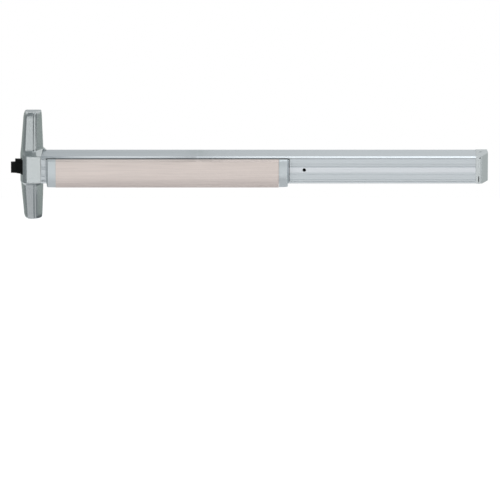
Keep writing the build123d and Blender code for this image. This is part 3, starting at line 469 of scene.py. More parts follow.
def turned(name, profile, base, axis, steps=24):
    """A profile of (radius, height) points turned about an axis that starts at a base point."""
    base = Vector(base)
    axis = Vector(axis).normalized()
    across = axis.orthogonal().normalized()
    beside = axis.cross(across)
    points, rings = [], []
    for radius, height in profile:
        if radius == 0:
            rings.append([len(points)] * steps)
            points.append(base + axis * height)
            continue
        rings.append(list(range(len(points), len(points) + steps)))
        for k in range(steps):
            turn = 2 * math.pi * k / steps
            spoke = math.cos(turn) * across + math.sin(turn) * beside
            points.append(base + axis * height + radius * spoke)
    faces = []
    for lower, upper in zip(rings, rings[1:]):
        for k in range(steps):
            after = (k + 1) % steps
            face = list(dict.fromkeys((lower[k], lower[after], upper[after], upper[k])))
            if len(face) > 2:
                faces.append(face)
    return mesh_object(name, points, faces)


cover_screw_seat = 12.5
cover_screw_depth = 6.5
cover_screw_z = 55.0
screw_head_radius = 3.1
screw_cone_top = 5.25
sink_radius = screw_head_radius + 0.15
sink_profile = [(0, 3.9), (2.15, 3.9), (sink_radius, screw_cone_top), (sink_radius, 9), (0, 9)]
cover_seats = [(cover_screw_seat, -cover_screw_depth, way * cover_screw_z) for way in (1, -1)]
for seat in cover_seats:
    combine(cover, turned("countersink", sink_profile, seat, (1, 0, 0)), "DIFFERENCE")
soften(cover)
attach(cover, "housing")
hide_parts("head_cover")

# Sprayed aluminium paint: fine flakes in a satin binder over a casting, a soft sheen with a faint
# sparkle. Real flakes are about 0.03 mm, too fine to show, so the grain is drawn at 1.1 mm, and the
# spray's orange peel of about 1 mm is drawn at 3.5 mm. Thicker paint clouds it every 45 mm or so.
flake_size = 0.0011
orange_peel = 0.0035
cloud_size = 0.045
cover_paint = new_material("sprayed_aluminium_paint_on_zinc_casting")
tree = cover_paint.node_tree
place = add(tree, "ShaderNodeTexCoord", {})
flakes = add(
    tree,
    "ShaderNodeTexNoise",
    {"Vector": place.outputs["Object"], "Scale": 1 / flake_size, "Detail": 3.0, "Roughness": 0.6},
)
cloud = add(
    tree,
    "ShaderNodeTexNoise",
    {"Vector": place.outputs["Object"], "Scale": 1 / cloud_size, "Detail": 2.0},
)
flake_ramp = add(tree, "ShaderNodeValToRGB", {0: flakes.outputs[0]})
flake_ramp.color_ramp.elements[0].position = 0.3
flake_ramp.color_ramp.elements[0].color = linear("#b3b9bb")
flake_ramp.color_ramp.elements[1].position = 0.72
flake_ramp.color_ramp.elements[1].color = linear("#cdd3d5")
shade = add(
    tree,
    "ShaderNodeMix",
    {0: cloud.outputs[0], 6: flake_ramp.outputs[0], 7: linear("#bec4c4")},
    data_type="RGBA",
)
gloss = add(tree, "ShaderNodeMapRange", {"Value": flakes.outputs[0], "To Min": 0.2, "To Max": 0.3})
peel = add(
    tree,
    "ShaderNodeTexNoise",
    {"Vector": place.outputs["Object"], "Scale": 1 / orange_peel, "Detail": 1.0},
)
peel_bump = add(
    tree, "ShaderNodeBump", {"Height": peel.outputs[0], "Strength": 0.06, "Distance": 0.0004}
)
surface = add(
    tree,
    "ShaderNodeBsdfPrincipled",
    {
        "Base Color": shade.outputs[2],
        "Roughness": gloss.outputs[0],
        "Normal": peel_bump.outputs[0],
        "Metallic": 0.85,
        "Coat Weight": 0.15,
        "Coat Roughness": 0.25,
    },
)
add(tree, "ShaderNodeOutputMaterial", {0: surface.outputs[0]})
dress(cover, cover_paint)


# Rail case: an aluminium extrusion, open to the front, clear anodised after a light etch.
# The die leaves fine lines along the length, which the satin surface shows as faint streaks.
def prism(name, near, far):
    """A closed solid between two outlines that have as many points."""
    count = len(near)
    faces = [tuple(range(count)), tuple(reversed(range(count, 2 * count)))]
    for i in range(count):
        after = (i + 1) % count
        faces.append((i, after, after + count, i + count))
    return mesh_object(name, near + far, faces)


def drawn_out(name, section, left, right):
    """A closed outline of (Z, depth) points drawn out along X."""
    return prism(name, *([(x, -depth, z) for z, depth in section] for x in (left, right)))


rail_left, rail_right = 15.3, 805.0
rail_half, rail_depth, rail_wall = 25.5, 46.0, 2.5
rail_inside = 23.0
lip_inside = 21.6
slot_back, slot_front = 41.9, 44.4
ledge_back = 40.4
upper_chamfer, lower_chamfer = 2.9, 0.6


def rail_side(edge, reaches):
    """Half of the case's section: out along its back, round its front edge and in past its slot."""
    return rounded_line(
        [
            Vector(point)
            for point in (
                (0, 0), (rail_half, 0), (rail_half, rail_depth - edge),
                (rail_half - edge, rail_depth), (lip_inside, rail_depth), (lip_inside, slot_front),
                (rail_inside, slot_front), (rail_inside, slot_back), (lip_inside, slot_back),
                (lip_inside, ledge_back), (rail_inside, ledge_back), (rail_inside, rail_wall),
                (0, rail_wall),
            )
        ],
        reaches,
        steps=3,
    )


inner_reaches = (0.2, 0.05, 0.05, 0.05, 0.05, 0.3, 0.1, 1.0)
upper_side = rail_side(upper_chamfer, (0.9, 0.6, 0.6, *inner_reaches))
lower_side = rail_side(lower_chamfer, (0.9, 0.2, 0.2, *inner_reaches))
rail_outline = [(p.x, p.y) for p in upper_side]
rail_outline += [(-p.x, p.y) for p in reversed(lower_side[1:-1])]
case = drawn_out("rail_case_extrusion", rail_outline, rail_left, rail_right)
soften(case, angle=40)
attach(case, "housing")
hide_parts("mechanism_case")

# Clear anodised aluminium: a satin metal with faint streaks. The die's lines are about 0.1 mm
# apart, too fine to show, so they are drawn at 0.9 mm.
die_line = 0.0009
streak_length = 0.35
rail_metal = new_material("extruded_aluminium_clear_anodised")
tree = rail_metal.node_tree
place = add(tree, "ShaderNodeTexCoord", {})
along = add(
    tree,
    "ShaderNodeMapping",
    {"Vector": place.outputs["Object"], "Scale": (1 / streak_length, 1 / die_line, 1 / die_line)},
)
lines = add(
    tree,
    "ShaderNodeTexNoise",
    {"Vector": along.outputs[0], "Scale": 1.0, "Detail": 4.0, "Roughness": 0.55},
)
line_ramp = add(tree, "ShaderNodeValToRGB", {0: lines.outputs[0]})
line_ramp.color_ramp.elements[0].position = 0.25
line_ramp.color_ramp.elements[0].color = linear("#bac1c4")
line_ramp.color_ramp.elements[1].position = 0.75
line_ramp.color_ramp.elements[1].color = linear("#cdd3d7")
gloss = add(tree, "ShaderNodeMapRange", {"Value": lines.outputs[0], "To Min": 0.24, "To Max": 0.36})
line_bump = add(
    tree, "ShaderNodeBump", {"Height": lines.outputs[0], "Strength": 0.08, "Distance": 0.0002}
)
surface = add(
    tree,
    "ShaderNodeBsdfPrincipled",
    {
        "Base Color": line_ramp.outputs[0],
        "Roughness": gloss.outputs[0],
        "Normal": line_bump.outputs[0],
        "Metallic": 0.8,
    },
)
add(tree, "ShaderNodeOutputMaterial", {0: surface.outputs[0]})
dress(case, rail_metal)


# Rail cover: an anodised strip that slides in the rail's slots, with fine grooves and a raised
# middle band whose lighter colour is a painted highlight. A round hole near the pad lets the
# hex key in.
strip_left, strip_right = 466.8, 804.8
strip_back = 42.15
strip_edge = 20.8
strip_tongue = 22.75
strip_tongue_front = 44.15
band_half, band_front = 4.8, 45.95
field_front = 45.5
groove_floor = 44.6
strip_outline = [
    (strip_tongue, strip_back), (strip_tongue, strip_tongue_front),
    (strip_edge, strip_tongue_front), (strip_edge, 45.2), (strip_edge - 0.4, field_front),
    (11.6, field_front), (11.4, 45.1), (10.9, 45.1), (10.7, field_front), (6.0, 45.42),
    (band_half + 0.5, 45.15), (band_half, band_front), (-band_half, band_front),
    (-band_half - 0.5, groove_floor), (-9.2, 44.9), (-9.5, field_front), (-17.0, field_front),
    (-17.2, 44.9), (-18.2, 44.9), (-18.4, field_front), (-21.2, field_front),
    (-21.2, strip_tongue_front), (-strip_tongue, strip_tongue_front), (-strip_tongue, strip_back),
]
key_hole_base = (493.5, -34.0, 0)
key_hole_radius, key_hole_mouth = 3.0, 3.5
key_hole_profile = [
    (0, 0), (key_hole_radius, 0), (key_hole_radius, 11.5), (key_hole_mouth, 12.2),
    (key_hole_mouth, 16), (0, 16),
]
strip = drawn_out("rail_front_cover", strip_outline, strip_left, strip_right)
key_hole = turned("key_hole", key_hole_profile, key_hole_base, (0, -1, 0), steps=32)
combine(strip, key_hole, "DIFFERENCE")
# A lighter copy of the rail's metal: a painted highlight on the raised band.
band_painted_highlight_metal = rail_metal.copy()
band_painted_highlight_metal.name = "anodised_band_painted_highlight"
for node in band_painted_highlight_metal.node_tree.nodes:
    if node.type == "VALTORGB":
        node.color_ramp.elements[0].color = linear("#cdd2d6")
        node.color_ramp.elements[1].color = linear("#dce0e4")
dress(strip, rail_metal, band_painted_highlight_metal)
# The raised band's front faces take the painted highlight.
for polygon in strip.data.polygons:
    middle = polygon.center * 1000
    if -middle.y > band_front - 0.15 and abs(middle.z) < band_half + 0.2:
        polygon.material_index = 1
soften(strip, angle=30)
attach(strip, "housing")
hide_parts("case_cover")


# Filler: the same strip in a short length beside the head, pierced by four cross slots.
# It closes the rail between the head and the pad, with a flange behind the head cover's wall.
# Each slot is given by its middle's height and half its width.
filler_left, filler_right = 15.7, 24.2
filler_slots = (19.3, 0.8), (1.9, 1.0), (-11.3, 1.5), (-20.0, 0.5)
filler = drawn_out("rail_front_filler", strip_outline, filler_left, filler_right)
for z, half in filler_slots:
    slot = box_object("slot", (16.9, -47, z - half), (22.4, -43.4, z + half))
    combine(filler, slot, "DIFFERENCE")
flange_low, flange_corner = -22.7, (16.5, -38.2, -8.5)
flange_leg = box_object("flange_leg", (filler_left, -42.4, flange_low), flange_corner)
combine(filler, flange_leg, "UNION")
flange = box_object("flange", (13.2, -39.0, flange_low), flange_corner)
combine(filler, flange, "UNION")
dress(filler, rail_metal)
soften(filler, angle=30)
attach(filler, "housing")
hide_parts("case_filler")


# End cap: a zinc casting sprayed like the head cover, whose front slopes back to the door at its
# right. It slips over the end bracket's tabs, and two countersunk screws hold it from above and
# below.
def round_edges(piece, chosen, width, steps):
    """Rounds the edges that a test picks."""
    work = bmesh.new()
    work.from_mesh(piece.data)
    edges = [edge for edge in work.edges if chosen(edge)]
    bmesh.ops.bevel(
        work,
        geom=edges,
        offset=width / 1000,
        segments=steps,
        profile=0.5,
        affect="EDGES",
        clamp_overlap=True,
    )
    work.to_mesh(piece.data)
    work.free()


def upright(name, outline, low, high):
    """A closed outline of (X, depth) points drawn out along Z."""
    return prism(name, *([(x, -depth, z) for x, depth in outline] for z in (low, high)))


end_cap_left = 805.1
end_wall = 2.2
end_half = 26.0
end_edge_round = 0.9
end_edge_back = 1.0
touching = 1e-6
end_line = rounded_line(
    [
        Vector(point)
        for point in (
            (end_cap_left, 0.2), (826.1, 0.2), (827.75, 22.8), (816.2, 44.7), (815.6, 44.9),
            (815.1, 43.9), (813.7, 43.9), (813.3, 46.0), (810.6, 46.0), (810.1, 45.6),
            (end_cap_left, 45.6),
        )
    ],
    (0.3, 3.0, 0.2, 0.2, 0.1, 0.1, 0.3, 0.2, 0.1),
    steps=4,
)
end_inner = [
    (end_cap_left - 2, -2), (826.1 - end_wall, -2), (827.6 - end_wall, 22.0), (814.4, 41.6),
    (813.0, 43.4), (end_cap_left - 2, 43.4),
]
end_cap = upright("rail_end_cap_casting", [(p.x, p.y) for p in end_line], -end_half, end_half)
# The edges round its upper and its lower face, apart from those at the rail and at the door.
round_edges(
    end_cap,
    lambda edge: all(abs(abs(v.co.z) - end_half / 1000) < touching for v in edge.verts)
    and min(v.co.x for v in edge.verts) > end_cap_left / 1000 + touching
    and max(v.co.y for v in edge.verts) < -end_edge_back / 1000,
    end_edge_round,
    steps=3,
)
end_screw_x, end_screw_depth, end_screw_seat = 813.6, 17.0, 20.35
end_hollow = upright("end_hollow", end_inner, -end_half + end_wall, end_half - end_wall)
combine(end_cap, end_hollow, "DIFFERENCE")
end_seats = [((end_screw_x, -end_screw_depth, way * end_screw_seat), way) for way in (1, -1)]
for seat, way in end_seats:
    combine(end_cap, turned("countersink", sink_profile, seat, (0, 0, way)), "DIFFERENCE")
# A pin hole at the top of its front, and a seam at the bottom.
pin_hole_base, pin_hole_radius = (812.3, -42.0, 22.4), 1.2
pin_hole_profile = [(0, 0), (pin_hole_radius, 0), (pin_hole_radius, 9), (0, 9)]
pin_hole = turned("pin_hole", pin_hole_profile, pin_hole_base, (0, -1, 0), steps=16)
combine(end_cap, pin_hole, "DIFFERENCE")
seam_corners = (809.3, -47, -22.8), (811.2, -42.6, -12.2)
combine(end_cap, box_object("seam", *seam_corners), "DIFFERENCE")
dress(end_cap, cover_paint)
soften(end_cap)
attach(end_cap, "housing")
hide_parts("end_cap")


# Push pad: stainless sheet, folded over a slightly crowned face, with its rims turned in behind.
# A belt has brushed it along its length in fine bright and dull lines, and it is warmer than the
# aluminium.
pad_front, pad_back, pad_half = 75.99, 64.3, 25.5
pad_crown = 1.9
crown_half = 22.4
pad_sheet = 1.5
pad_rim = 1.6
pad_edge_drop = 2.4
edge_steps, face_steps = 6, 10


def crown_depth(z, crown):
    """Depth of the pad's face at a height."""
    return pad_front - crown * (z / pad_half) ** 2


def pad_line(back, crown):
    """The outside of the pad in (Z, depth), from its upper rim round the face to its lower rim."""
    slope = 2 * crown * crown_half / pad_half**2
    corner = Vector((pad_half, crown_depth(crown_half, crown) - slope * (pad_half - crown_half)))
    start = Vector((pad_half, corner.y - pad_edge_drop))
    finish = Vector((crown_half, crown_depth(crown_half, crown)))
    upper = [Vector((pad_half, back))]
    for k in range(edge_steps + 1):
        t = k / edge_steps
        upper.append((1 - t) ** 2 * start + 2 * t * (1 - t) * corner + t * t * finish)
    for k in range(face_steps - 1, -1, -1):
        z = k / face_steps * crown_half
        upper.append(Vector((z, crown_depth(z, crown))))
    return upper + [Vector((-p.x, p.y)) for p in reversed(upper[:-1])]


skin_left, skin_right = 42.9, 447.1
rim_end = pad_half - pad_sheet - pad_rim
skin_inside = inset_section(pad_line(pad_back, pad_crown), -pad_sheet)
skin_inside[0].y = skin_inside[-1].y = pad_back + pad_sheet
skin_outline = [(rim_end, pad_back + pad_sheet), (rim_end, pad_back)]
skin_outline += [(p.x, p.y) for p in pad_line(pad_back, pad_crown)]
skin_outline += [(-rim_end, pad_back), (-rim_end, pad_back + pad_sheet)]
skin_outline += [(p.x, p.y) for p in reversed(skin_inside)]
skin = drawn_out("pad_face_sheet", skin_outline, skin_left, skin_right)
soften(skin, angle=40)
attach(skin, "push_pad")
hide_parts("pad_skin")

# Brushed stainless steel: a warm grey metal whose shine is drawn out across its lines. A belt
# leaves lines of about 0.1 mm, too fine to show, so they are drawn at 0.7 mm.
brush_line = 0.0007
brush_length = 0.09
pad_steel = new_material("brushed_stainless_sheet")
tree = pad_steel.node_tree
place = add(tree, "ShaderNodeTexCoord", {})
along = add(
    tree,
    "ShaderNodeMapping",
    {
        "Vector": place.outputs["Object"],
        "Scale": (1 / brush_length, 1 / brush_line, 1 / brush_line),
    },
)
brush = add(
    tree,
    "ShaderNodeTexNoise",
    {"Vector": along.outputs[0], "Scale": 1.0, "Detail": 5.0, "Roughness": 0.65},
)
brush_ramp = add(tree, "ShaderNodeValToRGB", {0: brush.outputs[0]})
brush_ramp.color_ramp.elements[0].position = 0.3
brush_ramp.color_ramp.elements[0].color = linear("#ccc2bd")
brush_ramp.color_ramp.elements[1].position = 0.7
brush_ramp.color_ramp.elements[1].color = linear("#e2d7d1")
gloss = add(tree, "ShaderNodeMapRange", {"Value": brush.outputs[0], "To Min": 0.3, "To Max": 0.45})
brush_bump = add(
    tree, "ShaderNodeBump", {"Height": brush.outputs[0], "Strength": 0.1, "Distance": 0.0002}
)
surface = add(
    tree,
    "ShaderNodeBsdfPrincipled",
    {
        "Base Color": brush_ramp.outputs[0],
        "Roughness": gloss.outputs[0],
        "Normal": brush_bump.outputs[0],
        "Metallic": 0.8,
        "Anisotropic": 0.4,
    },
)
add(tree, "ShaderNodeOutputMaterial", {0: surface.outputs[0]})
dress(skin, pad_steel)


# Pad end caps: nylon shells with glass and aluminium flake in them, moulded in a cool light grey,
# whose end wall reaches into the rail. The mould is spark eroded to a fine texture, which takes
# the shine down to satin.
cap_back = 52.0
cap_draft = 3.5
cap_slope = cap_draft / (pad_front - cap_back)
cap_wall = 2.2
cap_tongue_half = 21.0
cap_seam = 0.15
cap_sink = 0.05
cap_edge_round = 1.7
cap_overlap = 1.6
past_cut = 4


def pad_cap(name, outer_x, skin_x, seam_crown, end_crown):
    """One cap, from its end face to the skin, with the end face sloping in towards the front."""
    way = 1 if skin_x > outer_x else -1
    end_line, seam_line = pad_line(pad_back, end_crown), pad_line(pad_back, seam_crown)
    count = len(end_line)
    points = [(outer_x + way * cap_slope * (p.y - cap_back), cap_sink - p.y, p.x) for p in end_line]
    points += [(skin_x, cap_sink - p.y, p.x) for p in seam_line]
    faces = [tuple(range(count)), tuple(reversed(range(count, 2 * count)))]
    faces.append((0, count - 1, 2 * count - 1, count))
    faces += [(i, i + 1, i + 1 + count, i + count) for i in range(count - 1)]
    shell = mesh_object(name, points, faces)
    # Only the edges of the end face lie wholly outside of this line.
    end_limit = (outer_x + way * (cap_draft + 1)) / 1000
    round_edges(
        shell,
        lambda edge: all((v.co.x - end_limit) * way < 0 for v in edge.verts),
        cap_edge_round,
        steps=4,
    )
    low, high = sorted((outer_x + way * (cap_draft + cap_wall), skin_x + way * past_cut))
    room_line = inset_section(end_line, -cap_wall)
    room_line[0].y = room_line[-1].y = pad_back - past_cut
    combine(shell, drawn_out("cap_room", [(p.x, p.y) for p in room_line], low, high), "DIFFERENCE")
    tongue_front = pad_back + cap_overlap
    tongue_line = [
        (outer_x + way * (cap_slope * (depth - cap_back) + side * cap_wall), depth)
        for depth, side in ((cap_back, 0), (tongue_front, 0), (tongue_front, 1), (cap_back, 1))
    ]
    combine(shell, upright("tongue", tongue_line, -cap_tongue_half, cap_tongue_half), "UNION")
    return shell


# The right cap stands a little further off the skin, and is crowned more, at its seam and its end.
left_cap_end, right_cap_end = 24.5, 465.8
left_seam, right_seam = skin_left - cap_seam, skin_right + cap_seam + 0.35
left_crowns, right_crowns = (2.5, 3.6), (4.2, 6.0)
caps = {
    "pad_cap_left": pad_cap("pad_left_end_cap", left_cap_end, left_seam, *left_crowns),
    "pad_cap_right": pad_cap("pad_right_end_cap", right_cap_end, right_seam, *right_crowns),
}
for node, cap in caps.items():
    soften(cap, angle=40)
    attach(cap, "push_pad")
    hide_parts(node)

# Filled nylon: even and satin, and its flake mirrors softly like the metal round it. The eroded
# grain is about 0.1 mm, too fine to show, so it is drawn at 1.2 mm.
spark_grain = 0.0012
cap_nylon = new_material("moulded_grey_nylon")
tree = cap_nylon.node_tree
place = add(tree, "ShaderNodeTexCoord", {})
grain = add(
    tree,
    "ShaderNodeTexNoise",
    {"Vector": place.outputs["Object"], "Scale": 1 / spark_grain, "Detail": 2.0},
)
grain_ramp = add(tree, "ShaderNodeValToRGB", {0: grain.outputs[0]})
grain_ramp.color_ramp.elements[0].color = linear("#bec6c9")
grain_ramp.color_ramp.elements[1].color = linear("#cfd6d9")
gloss = add(tree, "ShaderNodeMapRange", {"Value": grain.outputs[0], "To Min": 0.3, "To Max": 0.42})
grain_bump = add(
    tree, "ShaderNodeBump", {"Height": grain.outputs[0], "Strength": 0.12, "Distance": 0.0003}
)
surface = add(
    tree,
    "ShaderNodeBsdfPrincipled",
    {
        "Base Color": grain_ramp.outputs[0],
        "Roughness": gloss.outputs[0],
        "Normal": grain_bump.outputs[0],
        "Metallic": 0.75,
    },
)
add(tree, "ShaderNodeOutputMaterial", {0: surface.outputs[0]})
for cap in caps.values():
    dress(cap, cap_nylon)


# Latch bolt and deadlatch: steel castings, and the bolt's dark pin, under a baked dull black coat
# that mirrors next to nothing and is glossier in rubbed patches of 12 mm. The castings' grain of
# about 0.3 mm is drawn at 0.9 mm to show.
latch_grain = 0.0009
rub_patch = 0.012
latch_coat = new_material("black_coated_steel_casting")
tree = latch_coat.node_tree
place = add(tree, "ShaderNodeTexCoord", {})
grit = add(
    tree,
    "ShaderNodeTexNoise",
    {"Vector": place.outputs["Object"], "Scale": 1 / latch_grain, "Detail": 3.0},
)
rub = add(
    tree,
    "ShaderNodeTexNoise",
    {"Vector": place.outputs["Object"], "Scale": 1 / rub_patch, "Detail": 2.0},
)
grit_ramp = add(tree, "ShaderNodeValToRGB", {0: grit.outputs[0]})
grit_ramp.color_ramp.elements[0].color = linear("#050606")
grit_ramp.color_ramp.elements[1].color = linear("#121514")
gloss = add(tree, "ShaderNodeMapRange", {"Value": rub.outputs[0], "To Min": 0.45, "To Max": 0.7})
grit_bump = add(
    tree, "ShaderNodeBump", {"Height": grit.outputs[0], "Strength": 0.15, "Distance": 0.0003}
)
surface = add(
    tree,
    "ShaderNodeBsdfPrincipled",
    {
        "Base Color": grit_ramp.outputs[0],
        "Roughness": gloss.outputs[0],
        "Normal": grit_bump.outputs[0],
        "Specular IOR Level": 0.12,
    },
)
add(tree, "ShaderNodeOutputMaterial", {0: surface.outputs[0]})
for node in ("latch_bolt", "deadlatch", "latch_pull_pin"):
    dress(nodes[node], latch_coat)

# The bolt is cast with a thin web across the front of its fork, a little behind its bevel.
web_half = 2.7
web_outline = [
    (-17.4, 37.0), (-20.9, 34.6), (-29.9, 29.2), (-29.3, 28.0), (-21.1, 33.0), (-18.0, 35.3),
]
web = upright("latch_bolt_web", web_outline, -web_half, web_half)
dress(web, latch_coat)
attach(web, "latch")


# Screws: countersunk steel screws with a cross recess, two through the head cover's walls and two
# through the end cap's. They are turned and rolled, zinc plated, and sit flush.
screw_top = 5.65
screw_profile = [
    (0, 0), (1.6, 0), (2.0, 0.5), (2.0, 4.1), (screw_head_radius, screw_cone_top),
    (screw_head_radius, 5.5), (screw_head_radius - 0.25, screw_top), (0, screw_top),
]
recess_long, recess_wide, recess_deep, recess_past = 1.7, 0.35, 1.2, 0.6


def countersunk_screw(base, axis):
    """One screw from its seat outwards, with a cross recess cut in its head."""
    screw = turned("screw", screw_profile, base, axis, steps=32)
    axis = Vector(axis)
    three_ways = (Vector((1, 0, 0)), Vector((0, 1, 0)), Vector((0, 0, 1)))
    ways = [way for way in three_ways if abs(way.dot(axis)) < 0.5]
    top = Vector(base) + axis * screw_top
    for along, across in (ways, reversed(ways)):
        reach = along * recess_long + across * recess_wide
        corners = (top - reach - axis * recess_deep, top + reach + axis * recess_past)
        low = [min(a, b) for a, b in zip(*corners)]
        high = [max(a, b) for a, b in zip(*corners)]
        combine(screw, box_object("recess", low, high), "DIFFERENCE")
    return screw


def joined(name, pieces):
    """Several closed pieces as one object."""
    work = bmesh.new()
    for piece in pieces:
        work.from_mesh(piece.data)
        bpy.data.objects.remove(piece)
    mesh = bpy.data.meshes.new(name)
    work.to_mesh(mesh)
    work.free()
    made = bpy.data.objects.new(name, mesh)
    scene.collection.objects.link(made)
    return made


cover_screw_pair = joined(
    "head_cover_screws", [countersunk_screw(seat, (1, 0, 0)) for seat in cover_seats]
)
end_screw_pair = joined(
    "rail_end_cap_screws", [countersunk_screw(seat, (0, 0, way)) for seat, way in end_seats]
)
for screws, node in ((cover_screw_pair, "cover_screws"), (end_screw_pair, "end_cap_screws")):
    soften(screws, angle=30)
    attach(screws, "housing")
    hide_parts(node)


# Pressed and turned steel inside: brackets, cranks, pins and rivets, zinc plated and clear
# passivated. The plating is bright, slightly blue, with a fine crystal mottle.
# Its crystals are about 0.05 mm, too fine to show, so they are drawn at 1.6 mm; its haze is 10 mm.
crystal = 0.0016
haze_size = 0.01
zinc_plate = new_material("zinc_plated_steel")
tree = zinc_plate.node_tree
place = add(tree, "ShaderNodeTexCoord", {})
crystals = add(
    tree,
    "ShaderNodeTexVoronoi",
    {"Vector": place.outputs["Object"], "Scale": 1 / crystal},
)
haze = add(
    tree,
    "ShaderNodeTexNoise",
    {"Vector": place.outputs["Object"], "Scale": 1 / haze_size, "Detail": 3.0},
)
crystal_ramp = add(tree, "ShaderNodeValToRGB", {0: haze.outputs[0]})
crystal_ramp.color_ramp.elements[0].color = linear("#9aa0a2")
crystal_ramp.color_ramp.elements[1].color = linear("#c6cbcd")
gloss = add(
    tree,
    "ShaderNodeMapRange",
    {"Value": crystals.outputs["Distance"], "From Max": 0.8, "To Min": 0.28, "To Max": 0.42},
)
surface = add(
    tree,
    "ShaderNodeBsdfPrincipled",
    {"Base Color": crystal_ramp.outputs[0], "Roughness": gloss.outputs[0], "Metallic": 0.95},
)
add(tree, "ShaderNodeOutputMaterial", {0: surface.outputs[0]})
for node in (
    "head_base_plate", "head_bracket", "latch_pin", "trim_cam", "cam_keeper", "trim_pin",
    "spring_collar", "rod_guide_left", "rod_guide_right", "crank_left", "crank_right",
    "crank_bracket_left", "crank_bracket_right", "crank_pin_left", "crank_pin_right",
    "rod_pin_left", "rod_pin_right", "pad_bracket_left", "pad_bracket_right", "pad_pin_left",
    "pad_pin_right", "dog_bracket", "dog_hook", "dog_clip", "end_bracket", "bracket_rivets",
):
    dress(nodes[node], zinc_plate)
for screws in (cover_screw_pair, end_screw_pair):
    dress(screws, zinc_plate)


# Dogging shaft and pull rod: steel with black oxide on it, the shaft hardened and with a hexagon
# socket behind the key hole. The oxide is a thin dark skin with a slight blue-brown cloud, every
# 3 mm or so.
oxide_cloud = 0.003
black_oxide = new_material("black_oxide_hardened_steel")
tree = black_oxide.node_tree
place = add(tree, "ShaderNodeTexCoord", {})
oxide = add(
    tree,
    "ShaderNodeTexNoise",
    {"Vector": place.outputs["Object"], "Scale": 1 / oxide_cloud, "Detail": 3.0},
)
oxide_ramp = add(tree, "ShaderNodeValToRGB", {0: oxide.outputs[0]})
oxide_ramp.color_ramp.elements[0].color = linear("#161719")
oxide_ramp.color_ramp.elements[1].color = linear("#262423")
gloss = add(tree, "ShaderNodeMapRange", {"Value": oxide.outputs[0], "To Min": 0.4, "To Max": 0.6})
surface = add(
    tree,
    "ShaderNodeBsdfPrincipled",
    {"Base Color": oxide_ramp.outputs[0], "Roughness": gloss.outputs[0], "Metallic": 0.9},
)
add(tree, "ShaderNodeOutputMaterial", {0: surface.outputs[0]})
for node in ("dog_shaft", "pull_rod"):
    dress(nodes[node], black_oxide)


# Carrier channel inside the pad: aluminium sheet, folded, left as it came from the mill.
# Rolling leaves faint dull lines along it, about 0.2 mm wide and so drawn at 1.5 mm to show.
roll_line = 0.0015
roll_length = 0.2
mill_aluminium = new_material("mill_finish_aluminium_sheet")
tree = mill_aluminium.node_tree
place = add(tree, "ShaderNodeTexCoord", {})
roll = add(
    tree,
    "ShaderNodeMapping",
    {"Vector": place.outputs["Object"], "Scale": (1 / roll_length, 1 / roll_line, 1 / roll_line)},
)
rolled = add(tree, "ShaderNodeTexNoise", {"Vector": roll.outputs[0], "Scale": 1.0, "Detail": 3.0})
rolled_ramp = add(tree, "ShaderNodeValToRGB", {0: rolled.outputs[0]})
rolled_ramp.color_ramp.elements[0].color = linear("#a9adaf")
rolled_ramp.color_ramp.elements[1].color = linear("#c6cacc")
gloss = add(tree, "ShaderNodeMapRange", {"Value": rolled.outputs[0], "To Min": 0.35, "To Max": 0.5})
surface = add(
    tree,
    "ShaderNodeBsdfPrincipled",
    {"Base Color": rolled_ramp.outputs[0], "Roughness": gloss.outputs[0], "Metallic": 0.9},
)
add(tree, "ShaderNodeOutputMaterial", {0: surface.outputs[0]})
dress(nodes["pad_carrier"], mill_aluminium)


# Springs: music wire, cold drawn and oiled dark. The rod's return spring is a coil between the
# rod's collar and the left guide, drawn at one length, though it closes up as the pad is pressed.
# Two torsion springs sit on the latch pin.
coil_left, coil_right = 143.5, 189.1
coil_depth = 12.0
coil_radius, wire_radius = 6.4, 0.65
coil_turns, turn_steps, wire_steps = 9, 28, 8
coil_points, coil_faces = [], []
coil_rings = coil_turns * turn_steps
for k in range(coil_rings + 1):
    turn = 2 * math.pi * k / turn_steps
    out = Vector((0, math.cos(turn), math.sin(turn)))
    x = coil_left + (coil_right - coil_left) * k / coil_rings
    centre = Vector((x, -coil_depth, 0)) + out * coil_radius
    for j in range(wire_steps):
        lean = 2 * math.pi * j / wire_steps
        spoke = math.cos(lean) * out + math.sin(lean) * Vector((1, 0, 0))
        coil_points.append(centre + wire_radius * spoke)
for k in range(coil_rings):
    for j in range(wire_steps):
        beside = (j + 1) % wire_steps
        low_ring, high_ring = k * wire_steps, (k + 1) * wire_steps
        coil_faces.append((low_ring + j, low_ring + beside, high_ring + beside, high_ring + j))
coil_faces.append(tuple(range(wire_steps)))
coil_faces.append(tuple(reversed(range(coil_rings * wire_steps, (coil_rings + 1) * wire_steps))))
coil = mesh_object("rod_return_spring", coil_points, coil_faces)
soften(coil, angle=50)
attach(coil, "housing")
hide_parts("rod_spring")

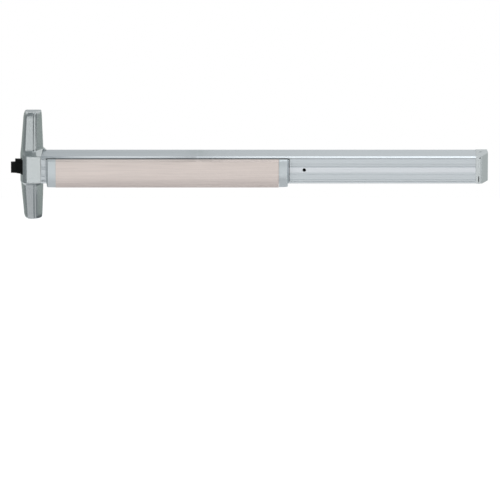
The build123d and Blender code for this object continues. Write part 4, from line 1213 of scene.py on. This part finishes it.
# Oiled wire: dark and half bright. The marks of drawing are under 0.1 mm and are drawn at 0.8 mm.
draw_mark = 0.0008
spring_steel = new_material("oiled_music_wire")
tree = spring_steel.node_tree
place = add(tree, "ShaderNodeTexCoord", {})
drawn = add(
    tree,
    "ShaderNodeTexNoise",
    {"Vector": place.outputs["Object"], "Scale": 1 / draw_mark, "Detail": 2.0},
)
drawn_ramp = add(tree, "ShaderNodeValToRGB", {0: drawn.outputs[0]})
drawn_ramp.color_ramp.elements[0].color = linear("#54585a")
drawn_ramp.color_ramp.elements[1].color = linear("#7e8385")
gloss = add(tree, "ShaderNodeMapRange", {"Value": drawn.outputs[0], "To Min": 0.25, "To Max": 0.4})
surface = add(
    tree,
    "ShaderNodeBsdfPrincipled",
    {"Base Color": drawn_ramp.outputs[0], "Roughness": gloss.outputs[0], "Metallic": 0.95},
)
add(tree, "ShaderNodeOutputMaterial", {0: surface.outputs[0]})
for spring in (nodes["latch_spring"], nodes["deadlatch_spring"], coil):
    dress(spring, spring_steel)
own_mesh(coil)


# Bumpers: four moulded rubber buttons on the rail's floor, which stop the pad softly.
# The rubber is dull black with a faint bloom in spots of 2 mm.
bloom_size = 0.002
rubber = new_material("black_moulded_rubber")
tree = rubber.node_tree
place = add(tree, "ShaderNodeTexCoord", {})
bloom = add(
    tree,
    "ShaderNodeTexNoise",
    {"Vector": place.outputs["Object"], "Scale": 1 / bloom_size, "Detail": 2.0},
)
bloom_ramp = add(tree, "ShaderNodeValToRGB", {0: bloom.outputs[0]})
bloom_ramp.color_ramp.elements[0].color = linear("#151515")
bloom_ramp.color_ramp.elements[1].color = linear("#262626")
gloss = add(tree, "ShaderNodeMapRange", {"Value": bloom.outputs[0], "To Min": 0.7, "To Max": 0.9})
surface = add(
    tree,
    "ShaderNodeBsdfPrincipled",
    {"Base Color": bloom_ramp.outputs[0], "Roughness": gloss.outputs[0]},
)
add(tree, "ShaderNodeOutputMaterial", {0: surface.outputs[0]})
dress(nodes["pad_bumpers"], rubber)
